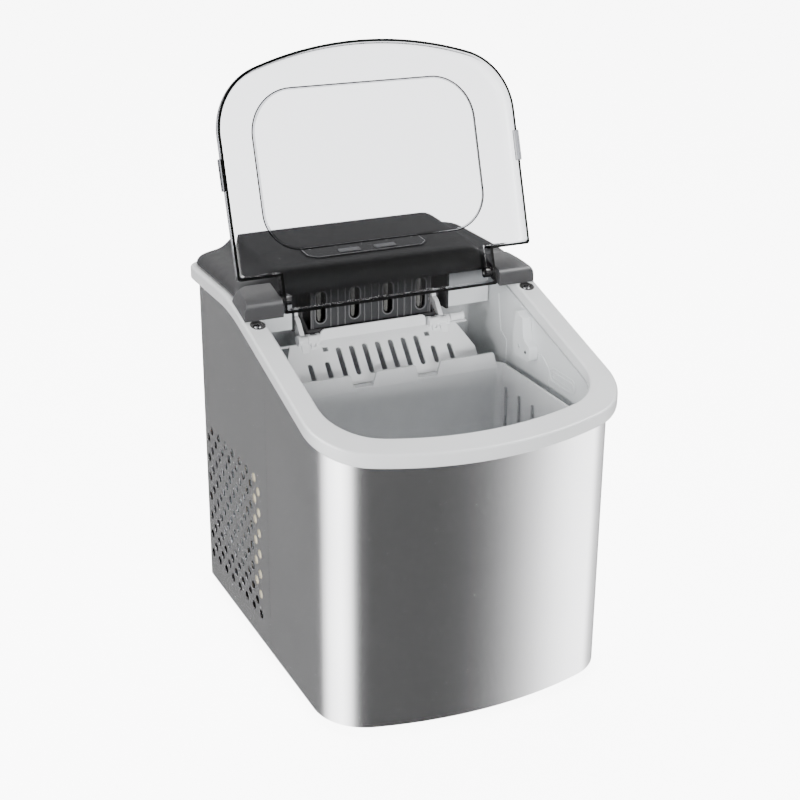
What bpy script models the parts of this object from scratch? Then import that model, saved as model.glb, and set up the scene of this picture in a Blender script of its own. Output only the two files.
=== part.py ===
# Countertop ice maker: metres, +Z up, front towards -Y.
# The origin is on the floor under the middle of the machine, and the lid stands open at rest.
import math

import bmesh
import bpy
from mathutils import Matrix, Vector

# Driving dimensions of the case
frameWidth = 0.290
frameHalf = frameWidth / 2
frameFront = -0.1795
frameRear = 0.1795
frameFrontTop = 0.262
frameRearTop = 0.335
frameSlope = math.radians(17.16)
frameBend = 0.184
frameLip = 0.013
frameSkin = 0.003
frameInnerSkin = 0.0025
frameCorner = 0.0545
frameRearCorner = 0.020
frontBow = 0.375
bandWidth = 0.020
openingHalf = frameHalf - bandWidth
frontBand = 0.0215
openingFront = frameFront + frontBand
openingRear = 0.150
openingCorner = 0.049
overhang = 0.008
sheet = 0.001
footHeight = 0.008
footRadius = 0.012
baseFloor = 0.003
baseWall = 0.014
seamY = -0.006
gap = 0.0003

# Lid and hinge
coverStart = 0.054
lidOpen = math.radians(125)
lidRearY = 0.014
lidSideSet, lidFrontSet = 0.0007, 0.0047  # the closed lid ends this far inside the frame
lidHalf = frameHalf - lidSideSet
lidLength = (lidRearY - frameFront) / math.cos(frameSlope) - lidFrontSet
lidCorner = 0.060
lidBow = 0.330
lidDepth = 0.014
lidWall = 0.0024
lidRim = 0.0005
axisBack = 0.0209
axisHeight = 0.0078
tailBack = 0.0123
tailClear = 0.0022
pinRadius = 0.0023
pinClear = 0.0003
blockWidth = 0.0361
blockInset = 0.0017
blockOuter = frameHalf - blockInset
blockInner = blockOuter - blockWidth
tailHalf = blockInner - tailClear
blockFront = 0.020
blockRear = coverStart - 0.0006
blockCrown = 0.0056  # the block's top above the hinge axis
blockRise = 0.0050
screwX = blockOuter - 0.010
screwY = 0.0150
screwHead = 0.0038
wellRadius = 0.0072
windowSide, windowFront = 0.0356, 0.0358
windowHalf = lidHalf - windowSide
windowLow = 0.0212
windowHigh = lidLength - windowFront
windowRise = 0.0015

# Rear cover and controls
coverSet = 0.006
coverRear = frameRear - coverSet
coverInset = 0.0055
coverWall = 0.0022
coverShoulder = 0.0125  # the shoulder round the plateau, above the frame
coverSeam = 0.0020
plateauSide = 0.046
plateauHalf = frameHalf - plateauSide
plateauTop = frameRearTop + 0.026
# the front edge hangs into the opening over this half width
coverDrop, coverDropHalf = 0.004, plateauHalf + 0.019
plateauFall = 0.072
overlayY = 0.0875
overlaySize = (0.122, 0.029)
overlayThick = 0.0008
buttonSize = (0.021, 0.008)
buttonX = 0.018
buttonY = -0.0055
lightX = 0.026
lightY = 0.0090
lightRadius = 0.0016

# Tank, basket and ice works
linerWall = 0.0022
linerFloor = 0.060
tankRear = 0.025
shelfTop = 0.2072
chamberRear = 0.1198
foam = 0.0085
basketGap = 0.012
basketHalf = openingHalf - basketGap
basketFront = openingFront + 0.008
basketRear = 0.023
basketFloor = 0.150
basketTop = 0.248
basketWall = 0.0022
lipTop = 0.260
slotPitch = 0.025
trayAxis = Vector((0.0, 0.090, 0.300))
trayInner = 0.022
trayWall = 0.002
trayHalf = 0.066
axleRadius = 0.003
fingerRadius = 0.005
fingerPitch = 0.034
fingerRows = (0.080, 0.100)
fingerTip = 0.286
housingTop = 0.329
housingHalf = 0.080
motorRadius = 0.0130
cheekFront = 0.0700
cheekHalf = openingHalf - 0.002
shovelHalf = 0.097
shovelThick = 0.0022
shovelSlot = 0.0132

# Vent field of the left side
ventRadius = 0.00425
ventPitchY = 0.0097
ventPitchZ = 0.021
ventColumns = 15
ventRows = 7
ventRear = 0.1538
ventLow = 0.036

# Cooling parts
fanRadius = 0.043
fanCentre = Vector((-0.088, 0.095, 0.110))
condenserSize = (0.020, 0.100, 0.110)
compressorRadius = 0.046
compressorCentre = Vector((0.066, 0.096, 0.0))
drainY = 0.036
drainZ = 0.036
glandX = 0.100
glandZ = 0.040

panelHalf = frameHalf - overhang
panelFront = frameFront + overhang
panelRear = frameRear - overhang
baseTop = footHeight + baseFloor
axisY = lidRearY + axisBack * math.cos(frameSlope) - axisHeight * math.sin(frameSlope)

for old in list(bpy.data.objects):
    bpy.data.objects.remove(old)

parts = bpy.data.collections.new("ice_maker")
cutters = bpy.data.collections.new("cutters")
bpy.context.scene.collection.children.link(parts)
bpy.context.scene.collection.children.link(cutters)


def material(name, colour, roughness, metallic=0.0, alpha=1.0):
    made = bpy.data.materials.new(name)
    made.use_nodes = True
    shader = made.node_tree.nodes["Principled BSDF"]
    shader.inputs["Base Color"].default_value = (*colour, 1.0)
    shader.inputs["Roughness"].default_value = roughness
    shader.inputs["Metallic"].default_value = metallic
    shader.inputs["Alpha"].default_value = alpha
    made.diffuse_color = (*colour, alpha)
    return made


steel = material("brushed_steel", (0.56, 0.56, 0.57), 0.32, 1.0)
whitePlastic = material("white_plastic", (0.86, 0.87, 0.88), 0.38)
linerPlastic = material("liner_plastic", (0.80, 0.82, 0.83), 0.45)
charcoal = material("charcoal_plastic", (0.035, 0.036, 0.038), 0.42)
greyPlastic = material("grey_plastic", (0.10, 0.10, 0.105), 0.45)
smoked = material("smoked_clear", (0.35, 0.36, 0.38), 0.08, 0.0, 0.45)
basketPlastic = material("basket_plastic", (0.83, 0.85, 0.86), 0.35)
nickel = material("nickel", (0.62, 0.60, 0.56), 0.25, 1.0)
copper = material("copper", (0.72, 0.42, 0.30), 0.3, 1.0)
aluminium = material("aluminium", (0.75, 0.76, 0.78), 0.4, 1.0)
blackMetal = material("black_metal", (0.03, 0.03, 0.032), 0.4, 0.2)
rubber = material("rubber", (0.03, 0.03, 0.03), 0.8)
foamStuff = material("foam", (0.70, 0.66, 0.52), 0.95)
board = material("circuit_board", (0.05, 0.20, 0.10), 0.5)
lightPlastic = material("light_guide", (0.75, 0.85, 0.80), 0.2)


def rounded(corners, steps=4):
    """The outline through (x, y, radius) corners, each rounded by its radius."""
    points = []
    for i, (x, y, radius) in enumerate(corners):
        corner = Vector((x, y))
        if radius <= 0:
            points.append(corner)
            continue
        before = (Vector(corners[i - 1][:2]) - corner).normalized()
        after = (Vector(corners[(i + 1) % len(corners)][:2]) - corner).normalized()
        half = before.angle(after) / 2
        centre = corner + (before + after).normalized() * radius / math.sin(half)
        start = corner + before * radius / math.tan(half) - centre
        end = corner + after * radius / math.tan(half) - centre
        turn = math.atan2(start.x * end.y - start.y * end.x, start.dot(end))
        for k in range(steps + 1):
            points.append(centre + Matrix.Rotation(turn * k / steps, 2) @ start)
    return [(p.x, p.y) for p in points]


def circle(x, y, radius, count=16, start=0.0):
    angles = [start + 2 * math.pi * k / count for k in range(count)]
    return [(x + radius * math.cos(a), y + radius * math.sin(a)) for a in angles]


def slot(x, y, width, height, steps=4):
    """A slot with round ends, width and height over all."""
    radius = min(width, height) / 2 - 1e-6
    across, up = width / 2, height / 2
    corners = [(x + across, y + up), (x - across, y + up), (x - across, y - up), (x + across, y - up)]
    return rounded([(*c, radius) for c in corners], steps)


def box(x0, x1, y0, y1):
    return [(x0, y0), (x1, y0), (x1, y1), (x0, y1)]


def plan(half, front, rear, corner, rearCorner, bow, steps=8):
    """A bow-fronted plan outline: a shallow front arc, two tangent corner arcs and square sides."""
    centreX = half - corner
    centreY = front + bow - math.sqrt((bow - corner) ** 2 - centreX**2)
    lean = math.asin(centreX / (bow - corner))
    right = []
    for k in range(5):
        angle = lean * k / 4
        right.append((bow * math.sin(angle), front + bow - bow * math.cos(angle)))
    for k in range(1, steps + 1):
        angle = lean + (math.pi / 2 - lean) * k / steps
        right.append((centreX + corner * math.sin(angle), centreY - corner * math.cos(angle)))
    for k in range(5):
        angle = math.pi / 2 * k / 4
        right.append(
            (
                half - rearCorner + rearCorner * math.cos(angle),
                rear - rearCorner + rearCorner * math.sin(angle),
            )
        )
    return right + [(-x, y) for x, y in reversed(right[1:])]


def framePlan(inset):
    """The outline that follows the top frame's outer edge, this far inside it."""
    return plan(
        frameHalf - inset,
        frameFront + inset,
        frameRear - inset,
        max(frameCorner - inset * 0.6, 0.01),
        max(frameRearCorner - inset, 0.004),
        frontBow - inset,
    )


def openingPlan(grow, rear=openingRear, rearCorner=0.008):
    """The outline that follows the opening's edge, this far outside it."""
    return plan(
        openingHalf + grow,
        openingFront - grow,
        rear,
        openingCorner + grow,
        rearCorner,
        frontBow + frameFront - openingFront + grow,
    )


def frameTop(y):
    """Height of the top frame's upper face: a slope, a bend and a level stretch behind."""
    meet = frameFront + (frameRearTop - frameFrontTop) / math.tan(frameSlope)
    reach = frameBend * math.tan(frameSlope / 2)
    if y <= meet - reach:
        return frameFrontTop + (y - frameFront) * math.tan(frameSlope)
    if y < meet + reach:
        return frameRearTop - frameBend + math.sqrt(frameBend**2 - (meet + reach - y) ** 2)
    return frameRearTop


def topLine(drop, start, end):
    """Points of the frame's upper face lowered by drop, from start to end along Y."""
    meet = frameFront + (frameRearTop - frameFrontTop) / math.tan(frameSlope)
    reach = frameBend * math.tan(frameSlope / 2)
    bend = [meet - reach + 2 * reach * k / 6 for k in range(7)]
    stations = [start] + [y for y in bend if start < y < end] + [end]
    return [(y, frameTop(y) - drop) for y in stations]


axisZ = frameTop(lidRearY) + axisBack * math.sin(frameSlope) + axisHeight * math.cos(frameSlope)
hinge = Vector((0.0, axisY, axisZ))
blockTop = axisZ + blockCrown


def mesh_object(name, mesh, origin=Vector(), collection=parts):
    """An object around this mesh, with its origin moved to the given point."""
    mesh.transform(Matrix.Translation(-origin))
    made = bpy.data.objects.new(name, mesh)
    made.location = origin
    collection.objects.link(made)
    return made


# Planes of a flat outline: its own x, y and thickness directions in the model
flat = Matrix.Identity(4)
sideways = Matrix(((0, 0, 1, 0), (1, 0, 0, 0), (0, 1, 0, 0), (0, 0, 0, 1)))
upright = Matrix(((1, 0, 0, 0), (0, 0, -1, 0), (0, 1, 0, 0), (0, 0, 0, 1)))


def slab(outlines, low, high, plane=flat):
    """A mesh of flat outlines (later ones are holes) between two depths of their plane."""
    curve = bpy.data.curves.new("outline", "CURVE")
    curve.dimensions = "2D"
    curve.fill_mode = "BOTH"
    curve.extrude = (high - low) / 2
    for outline in outlines:
        spline = curve.splines.new("POLY")
        spline.points.add(len(outline) - 1)
        for point, (x, y) in zip(spline.points, outline):
            point.co = (x, y, 0, 1)
        spline.use_cyclic_u = True
    guide = bpy.data.objects.new("outline", curve)
    cutters.objects.link(guide)
    bpy.context.view_layer.update()
    mesh = bpy.data.meshes.new_from_object(guide.evaluated_get(bpy.context.evaluated_depsgraph_get()))
    bpy.data.objects.remove(guide)
    mesh.transform(plane @ Matrix.Translation((0, 0, (low + high) / 2)))
    weld(mesh)
    return mesh


def weld(mesh):
    work = bmesh.new()
    work.from_mesh(mesh)
    bmesh.ops.remove_doubles(work, verts=work.verts, dist=1e-6)
    bmesh.ops.recalc_face_normals(work, faces=work.faces)
    work.to_mesh(mesh)
    work.free()


def block(x0, x1, y0, y1, z0, z1):
    return slab([box(x0, x1, y0, y1)], z0, z1)


def rod(centre, radius, length, axis="Z", sides=16, tip=None):
    """A cylinder mesh centred on a point, or a cone when a tip radius is given."""
    work = bmesh.new()
    bmesh.ops.create_cone(
        work,
        cap_ends=True,
        segments=sides,
        radius1=radius,
        radius2=radius if tip is None else tip,
        depth=length,
    )
    turn = {"X": Matrix.Rotation(math.pi / 2, 4, "Y"), "Y": Matrix.Rotation(-math.pi / 2, 4, "X")}
    bmesh.ops.transform(work, matrix=turn.get(axis, Matrix.Identity(4)), verts=work.verts)
    bmesh.ops.translate(work, vec=centre, verts=work.verts)
    mesh = bpy.data.meshes.new("rod")
    work.to_mesh(mesh)
    work.free()
    return mesh


def turned(name, profile, sides=24):
    """A turned solid: (radius, height) points from top to bottom, on the Z axis."""
    mesh = bpy.data.meshes.new(name)
    mesh.from_pydata([(r, 0, z) for r, z in profile], [(i, i + 1) for i in range(len(profile) - 1)], [])
    made = bpy.data.objects.new(name, mesh)
    cutters.objects.link(made)
    screw = made.modifiers.new("turn", "SCREW")
    screw.steps = screw.render_steps = sides
    screw.use_merge_vertices = True
    screw.merge_threshold = 0.00005
    bpy.context.view_layer.update()
    solid = bpy.data.meshes.new_from_object(made.evaluated_get(bpy.context.evaluated_depsgraph_get()))
    bpy.data.objects.remove(made)
    weld(solid)
    return solid


def tube(points, radius, bevel=2):
    """A mesh of a round wire or hose through these points."""
    curve = bpy.data.curves.new("tube", "CURVE")
    curve.dimensions = "3D"
    curve.bevel_depth = radius
    curve.bevel_resolution = bevel
    curve.use_fill_caps = True
    spline = curve.splines.new("POLY")
    spline.points.add(len(points) - 1)
    for point, place in zip(spline.points, points):
        point.co = (*place, 1)
    guide = bpy.data.objects.new("tube", curve)
    cutters.objects.link(guide)
    bpy.context.view_layer.update()
    mesh = bpy.data.meshes.new_from_object(guide.evaluated_get(bpy.context.evaluated_depsgraph_get()))
    bpy.data.objects.remove(guide)
    weld(mesh)
    return mesh


def bent(corners, steps=4):
    """A 3D route through (x, y, z, radius) corners, each bend an arc."""
    points = []
    for i, (x, y, z, radius) in enumerate(corners):
        corner = Vector((x, y, z))
        if radius <= 0:
            points.append(corner)
            continue
        before = (Vector(corners[i - 1][:3]) - corner).normalized()
        after = (Vector(corners[i + 1][:3]) - corner).normalized()
        half = before.angle(after) / 2
        centre = corner + (before + after).normalized() * radius / math.sin(half)
        start = corner + before * radius / math.tan(half) - centre
        end = corner + after * radius / math.tan(half) - centre
        turn = Matrix.Rotation((math.pi - 2 * half) / steps, 3, start.cross(end))
        for _ in range(steps + 1):
            points.append(centre + start)
            start = turn @ start
    return points


def combine(target, mesh, operation, name="cut"):
    """A live Boolean of the target with a helper mesh given in the model's own frame."""
    helper = mesh_object(target.name + "_" + name, mesh, collection=cutters)
    helper.hide_render = True
    helper.display_type = "WIRE"
    if target.parent:
        helper.parent = target.parent
    step = target.modifiers.new(name, "BOOLEAN")
    step.operation = operation
    step.object = helper
    step.solver = "EXACT"
    return helper


def cut(target, mesh, name="cut"):
    return combine(target, mesh, "DIFFERENCE", name)


def join(target, mesh, name="join"):
    return combine(target, mesh, "UNION", name)


def keep(target, mesh, name="keep"):
    return combine(target, mesh, "INTERSECT", name)


def finish(made, finishMaterial, smooth=30):
    made.data.materials.clear()
    made.data.materials.append(finishMaterial)
    made.data.shade_smooth()
    made.data.set_sharp_from_angle(angle=math.radians(smooth))
    return made


def gathered(meshes):
    """Several closed meshes as one cutter mesh."""
    work = bmesh.new()
    for mesh in meshes:
        work.from_mesh(mesh)
    made = bpy.data.meshes.new("gathered")
    work.to_mesh(made)
    work.free()
    return made


def cut_by(target, helper):
    """A live cut by a helper object that has modifiers of its own."""
    step = target.modifiers.new(helper.name, "BOOLEAN")
    step.object = helper
    step.solver = "EXACT"


def below_frame(name, edges, drop):
    """A helper solid within these plan edges, up to the frame's upper face lowered by drop."""
    helper = mesh_object(name, slab(edges, 0.180, 0.420), collection=cutters)
    helper.hide_render = True
    helper.display_type = "WIRE"
    limits = under_frame(drop, frameFront - 0.01, frameRear + 0.01, 0.150)
    keep(helper, slab([limits], -0.2, 0.2, sideways), "limits")
    return helper


def under_frame(drop, start, end, floor):
    """A side profile from the floor up to the frame's upper face lowered by drop."""
    return [(end, floor), *reversed(topLine(drop, start, end)), (start, floor)]


# Case


def make_base():
    outline = framePlan(overhang + sheet + gap)
    base = mesh_object("base_pan", slab([outline], footHeight, footHeight + baseWall))
    inner = framePlan(overhang + sheet + gap + 0.0025)
    cut(base, slab([inner], baseTop, footHeight + 2 * baseWall), "tray")
    finish(base, greyPlastic)


def make_feet():
    profile = [
        (0.0, footHeight - gap),
        (footRadius, footHeight - gap),
        (footRadius, 0.0015),
        (footRadius - 0.0015, 0.0),
        (0.0, 0.0),
    ]
    across = panelHalf - 0.030
    for side, x in (("left", -across), ("right", across)):
        for end, y in (("front", panelFront + 0.045), ("rear", panelRear - 0.030)):
            foot = mesh_object(f"foot_{end}_{side}", turned("foot", profile, 20))
            foot.location = (x, y, 0)
            finish(foot, rubber)


def make_front_panel():
    outer = [p for p in framePlan(overhang) if p[1] < seamY]
    inner = [p for p in framePlan(overhang + sheet) if p[1] < seamY]
    middle = len(outer) // 2
    outer = outer[: middle + 1], outer[middle + 1 :]
    middle = len(inner) // 2
    inner = inner[: middle + 1], inner[middle + 1 :]
    # Each outline starts at the front centre, so the two halves are joined there the other way round.
    outerRun = [(-panelHalf, seamY), *outer[1], *outer[0], (panelHalf, seamY)]
    innerRun = [(-panelHalf + sheet, seamY), *inner[1], *inner[0], (panelHalf - sheet, seamY)]
    ring = outerRun + list(reversed(innerRun))
    panel = mesh_object("front_panel", slab([ring], footHeight + gap, frameRearTop))
    profile = under_frame(frameSkin + gap, frameFront - 0.01, seamY + 0.01, 0.0)
    keep(panel, slab([profile], -frameHalf, frameHalf, sideways), "top_edge")
    finish(panel, steel)


def vent_outlines():
    """Rows of round holes, each second column half a pitch higher."""
    holes = []
    for column in range(ventColumns):
        y = ventRear - column * ventPitchY
        lift = ventPitchZ / 2 if column % 2 else 0
        for row in range(ventRows):
            holes.append(circle(y, ventLow + lift + row * ventPitchZ, ventRadius, 6, 0.0))
    return holes


def make_side_panels():
    start, end = seamY + 0.0006, panelRear - 0.011
    profile = under_frame(frameSkin + gap, start, end, footHeight + gap)
    left = mesh_object(
        "left_side_panel",
        slab([profile, *vent_outlines()], -panelHalf, -panelHalf + sheet, sideways),
    )
    finish(left, steel)
    louvres = [slot(0.086, 0.070 + 0.016 * row, 0.110, 0.005, 3) for row in range(7)]
    plug = circle(drainY, drainZ, 0.0085, 20)
    right = mesh_object(
        "right_side_panel",
        slab([profile, plug, *louvres], panelHalf - sheet, panelHalf, sideways),
    )
    finish(right, steel)


def make_rear_panel():
    start = panelRear - 0.011 + 0.0006
    corner = 0.010
    outer = rounded(
        [(panelHalf, start, 0), (panelHalf, panelRear, corner), (-panelHalf, panelRear, corner),
            (-panelHalf, start, 0)]
    )
    inner = rounded(
        [
            (panelHalf - sheet, start, 0),
            (panelHalf - sheet, panelRear - sheet, corner - sheet),
            (-panelHalf + sheet, panelRear - sheet, corner - sheet),
            (-panelHalf + sheet, start, 0),
        ]
    )
    top = frameRearTop - frameSkin - gap
    panel = mesh_object("rear_panel", slab([outer + inner[::-1]], footHeight + gap, top))
    louvres = [slot(-0.040, 0.090 + 0.018 * row, 0.130, 0.006, 3) for row in range(8)]
    louvres += [circle(glandX, glandZ, 0.0075, 16)]
    holes = [slab([outline], -panelRear - 0.01, -panelRear + 0.01, upright) for outline in louvres]
    cut(panel, gathered(holes), "louvres")
    finish(panel, steel)


def make_top_frame():
    frame = mesh_object("top_frame", slab([framePlan(0), openingPlan(0)], 0.200, 0.400))
    profile = topLine(frameLip, frameFront - 0.01, frameRear + 0.01)
    profile += list(reversed(topLine(0, frameFront - 0.01, frameRear + 0.01)))
    keep(frame, slab([profile], -0.2, 0.2, sideways), "side_shape")
    soften = frame.modifiers.new("soften", "BEVEL")
    soften.width = 0.0018
    soften.segments = 2
    soften.limit_method = "ANGLE"
    soften.angle_limit = math.radians(60)
    edges = [framePlan(frameSkin), openingPlan(frameInnerSkin, openingRear + frameInnerSkin)]
    cut_by(frame, below_frame("top_frame_channel", edges, frameSkin))
    pads = []
    for side in (-1, 1):
        tilt = Matrix.Translation((side * screwX, screwY,
            frameTop(screwY))) @ Matrix.Rotation(frameSlope, 4, "X")
        well = rod(Vector((0, 0, 0.0007)), wellRadius, 0.0066, "Z", 20)
        well.transform(tilt)
        pads.append(well)
    cut(frame, gathered(pads), "screw_wells")
    finish(frame, whitePlastic)
    return frame


# Rear cover


def plateauHeight(y):
    return plateauTop - plateauFall * (0.150 - y)


def cover_rows(wall):
    """One skin of the cover: sections across X at stations along Y, this far inside the outer skin."""
    front = [(0.0, 0.0), (0.0012, 0.45), (0.004, 0.82), (0.009, 0.96)]
    rear = [(0.0115, 0.97), (0.0055, 0.86), (0.0020, 0.66), (0.0, 0.0)]
    stations = [(coverStart + wall + y, rise) for y, rise in front]
    stations += [(y, 1.0) for y in (0.0700, 0.1050, 0.1300, 0.1540)]
    stations += [(coverRear - wall - y, rise) for y, rise in rear]
    cornerStart = frameRear - frameRearCorner
    radius = frameRearCorner - coverInset - wall
    rows = []
    for y, rise in stations:
        side = frameHalf - coverInset - wall
        if y > cornerStart:
            side += math.sqrt(radius**2 - (y - cornerStart) ** 2) - radius
        low = frameTop(y) + coverSeam
        high = plateauHeight(min(y, 0.154)) - low
        rising = high - coverShoulder
        half = [(side, 0.0), (side - 0.0010, 0.0030), (side - 0.0055, 0.0060),
            (side - 0.0160, coverShoulder * 0.85)]
        slope = [(0.0150, coverShoulder), (0.0095, coverShoulder + 0.25 * rising)]
        slope += [(0.0055, coverShoulder + 0.72 * rising), (0.0, high), (-0.0120, high)]
        for out, height in slope:
            half.append((min(plateauHalf + out - wall, half[-1][0] - 0.0020), height))
        half += [(0.0620 - wall, high), (0.0200 - wall, high)]
        section = []
        for x, height in half:
            drop = coverDrop if rise == 0 and y < openingRear and x < coverDropHalf else 0.0
            section.append((x, y, low + max(height * rise - wall, 0.0) - drop))
        rows.append([(-x, y, z) for x, y, z in section] + section[::-1])
    return rows


def make_rear_cover():
    work = bmesh.new()
    outer, inner = ([[work.verts.new(point) for point in row] for row in cover_rows(w)] for w in (0.0,
        coverWall))
    for skin in (outer, inner):
        for a, b in zip(skin, skin[1:]):
            for k in range(len(a) - 1):
                work.faces.new((a[k], a[k + 1], b[k + 1], b[k]))
    rims = [(outer[0], inner[0]), (outer[-1], inner[-1])]
    rims += [([row[k] for row in outer], [row[k] for row in inner]) for k in (0, -1)]
    for a, b in rims:
        for k in range(len(a) - 1):
            work.faces.new((a[k], a[k + 1], b[k + 1], b[k]))
    bmesh.ops.recalc_face_normals(work, faces=work.faces)
    mesh = bpy.data.meshes.new("rear_cover")
    work.to_mesh(mesh)
    work.free()
    cover = mesh_object("rear_cover", mesh)
    plane = control_plane()
    holes = []
    for x in (-buttonX, buttonX):
        holes.append(button_block(x, 0.0007, -0.02, 0.02))
    for k in range(5):
        holes.append(rod(Vector(((k - 2) * lightX, lightY, 0)), lightRadius + 0.0004, 0.04, "Z", 12))
    openings = gathered(holes)
    openings.transform(plane)
    cut(cover, openings, "control_holes")
    finish(cover, charcoal, 40)


def control_plane():
    """The place and tilt of the controls on the plateau."""
    tilt = Matrix.Rotation(math.atan(plateauFall), 4, "X")
    return Matrix.Translation((0, overlayY, plateauHeight(overlayY))) @ tilt


def button_block(x, grow, low, high):
    width, height = buttonSize[0] / 2 + grow, buttonSize[1] / 2 + grow
    corners = [(x + a * width, buttonY + b * height, 0.0012 + grow) for a,
        b in ((1, 1), (-1, 1), (-1, -1), (1, -1))]
    return slab([rounded(corners, 3)], low, high)


def make_controls():
    plane = control_plane()
    panelPlace = bpy.data.objects.new("control_plane", None)
    panelPlace.matrix_world = plane
    parts.objects.link(panelPlace)
    w, h = overlaySize[0] / 2, overlaySize[1] / 2
    outline = [(w, -h + 0.008), (w, h), (-w, h), (-w, -h + 0.008), (-w + 0.008, -h), (w - 0.008, -h)]
    holes = []
    for x in (-buttonX, buttonX):
        width, height = buttonSize[0] / 2 + 0.0004, buttonSize[1] / 2 + 0.0004
        ends = [(x + a * width, buttonY + b * height, 0.0016) for a,
            b in ((1, 1), (-1, 1), (-1, -1), (1, -1))]
        holes.append(rounded(ends, 3))
    for k in range(5):
        holes.append(circle((k - 2) * lightX, lightY, lightRadius + 0.0003, 12))
    overlay = mesh_object("control_panel", slab([outline, *holes], gap, gap + overlayThick))
    overlay.parent = panelPlace
    finish(overlay, charcoal)
    for name, x in (("power_button", -buttonX), ("select_button", buttonX)):
        button = mesh_object(name, button_block(x, 0, -coverWall - 0.0022, overlayThick + 0.0010))
        button.parent = panelPlace
        low = -coverWall - 0.0022
        flange = slab([box(x - 0.0125, x + 0.0125, buttonY - 0.006, buttonY + 0.006)], low - 0.0012,
            low + 0.0004)
        join(button, flange, "flange")
        finish(button, greyPlastic)
    bar = slab([box(-0.056, 0.056, lightY - 0.003, lightY + 0.003)], -coverWall - 0.0035,
        -coverWall - 0.0005)
    guide = mesh_object("light_guide", bar)
    guide.parent = panelPlace
    pipes = []
    for k in range(5):
        top = overlayThick + gap
        bottom = -coverWall - 0.0015
        place = Vector(((k - 2) * lightX, lightY, (top + bottom) / 2))
        pipes.append(rod(place, lightRadius, top - bottom, "Z", 12))
    join(guide, gathered(pipes), "pipes")
    finish(guide, lightPlastic)
    circuit = mesh_object("display_board", slab([box(-0.058, 0.058, -0.0135, 0.0135)], -0.0115, -0.0100))
    circuit.parent = panelPlace
    switches = []
    for x in (-buttonX, buttonX):
        switches.append(block(x - 0.003, x + 0.003, buttonY - 0.003, buttonY + 0.003, -0.0105, -0.0078))
    join(circuit, gathered(switches), "switches")
    finish(circuit, board)


# Lid, in a frame whose origin is on the hinge and whose Y runs back along the closed lid


def lid_outline(inset):
    half, front = lidHalf - inset, -axisBack - lidLength + inset
    body = plan(half, front, 0.05, lidCorner - inset, 0.002, lidBow - inset, 10)
    back = -axisBack - inset
    run = [p for p in body if p[1] < back - 0.001]
    right = [p for p in run if p[0] >= 0]
    left = [p for p in run if p[0] < 0]
    tail = tailHalf - inset
    corners = rounded(
        [
            (half, back - 0.012, 0),
            (half, back, 0.003),
            (tail, back, 0),
            (tail, tailBack - inset, 0.0015),
            (-tail, tailBack - inset, 0.0015),
            (-tail, back, 0),
            (-half, back, 0.003),
            (-half, back - 0.012, 0),
        ],
        3,
    )
    return right + corners + left


def make_lid():
    place = bpy.data.objects.new("lid_hinge", None)
    place.location = hinge
    place.rotation_euler = (frameSlope - lidOpen, 0, 0)
    parts.objects.link(place)
    low = -axisHeight + lidRim
    high = low + lidDepth
    lid = mesh_object("lid", slab([lid_outline(0)], low, high))
    lid.parent = place
    edge = lid.modifiers.new("edge", "BEVEL")
    edge.width = 0.0032
    edge.segments = 2
    edge.limit_method = "WEIGHT"
    mark_edges(lid.data, high)
    cut(lid, slab([lid_outline(lidWall)], low - 0.01, high - lidWall), "hollow")
    first, last = -axisBack - windowLow, -axisBack - windowHigh
    frontCorner, rearCorner = 0.040, 0.034
    window = rounded(
        [
            (windowHalf, first, rearCorner),
            (-windowHalf, first, rearCorner),
            (-windowHalf, last, frontCorner),
            (windowHalf, last, frontCorner),
        ],
        8,
    )
    join(lid, slab([window], high - 0.0010, high + windowRise), "window")
    pocket = [(x * (1 - 2 * lidWall / windowHalf), y) for x, y in window]
    cut(lid, slab([pocket], high - lidWall - 0.004, high - lidWall + windowRise), "pocket")
    bosses, bores, tabs = [], [], []
    for side in (-1, 1):
        bosses.append(rod(Vector((side * (tailHalf - 0.0045), 0, 0)), 0.0052, 0.0078, "X", 20))
        bores.append(rod(Vector((side * tailHalf, 0, 0)), pinRadius + pinClear, 0.030, "X", 16))
        x = side * (lidHalf - 0.001)
        tabs.append(block(min(x, x + side * 0.003), max(x, x + side * 0.003), -0.1269, -0.0989, low,
            low + 0.006))
    join(lid, gathered(bosses), "bosses")
    cut(lid, gathered(bores), "bores")
    join(lid, gathered(tabs), "tabs")
    finish(lid, smoked)


def mark_edges(mesh, height):
    """Bevel weight on the edges that lie at this height."""
    weights = mesh.attributes.new("bevel_weight_edge", "FLOAT", "EDGE")
    for edge in mesh.edges:
        ends = [mesh.vertices[v].co.z for v in edge.vertices]
        faces = all(abs(z - height) < 1e-5 for z in ends)
        weights.data[edge.index].value = 1.0 if faces else 0.0


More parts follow.
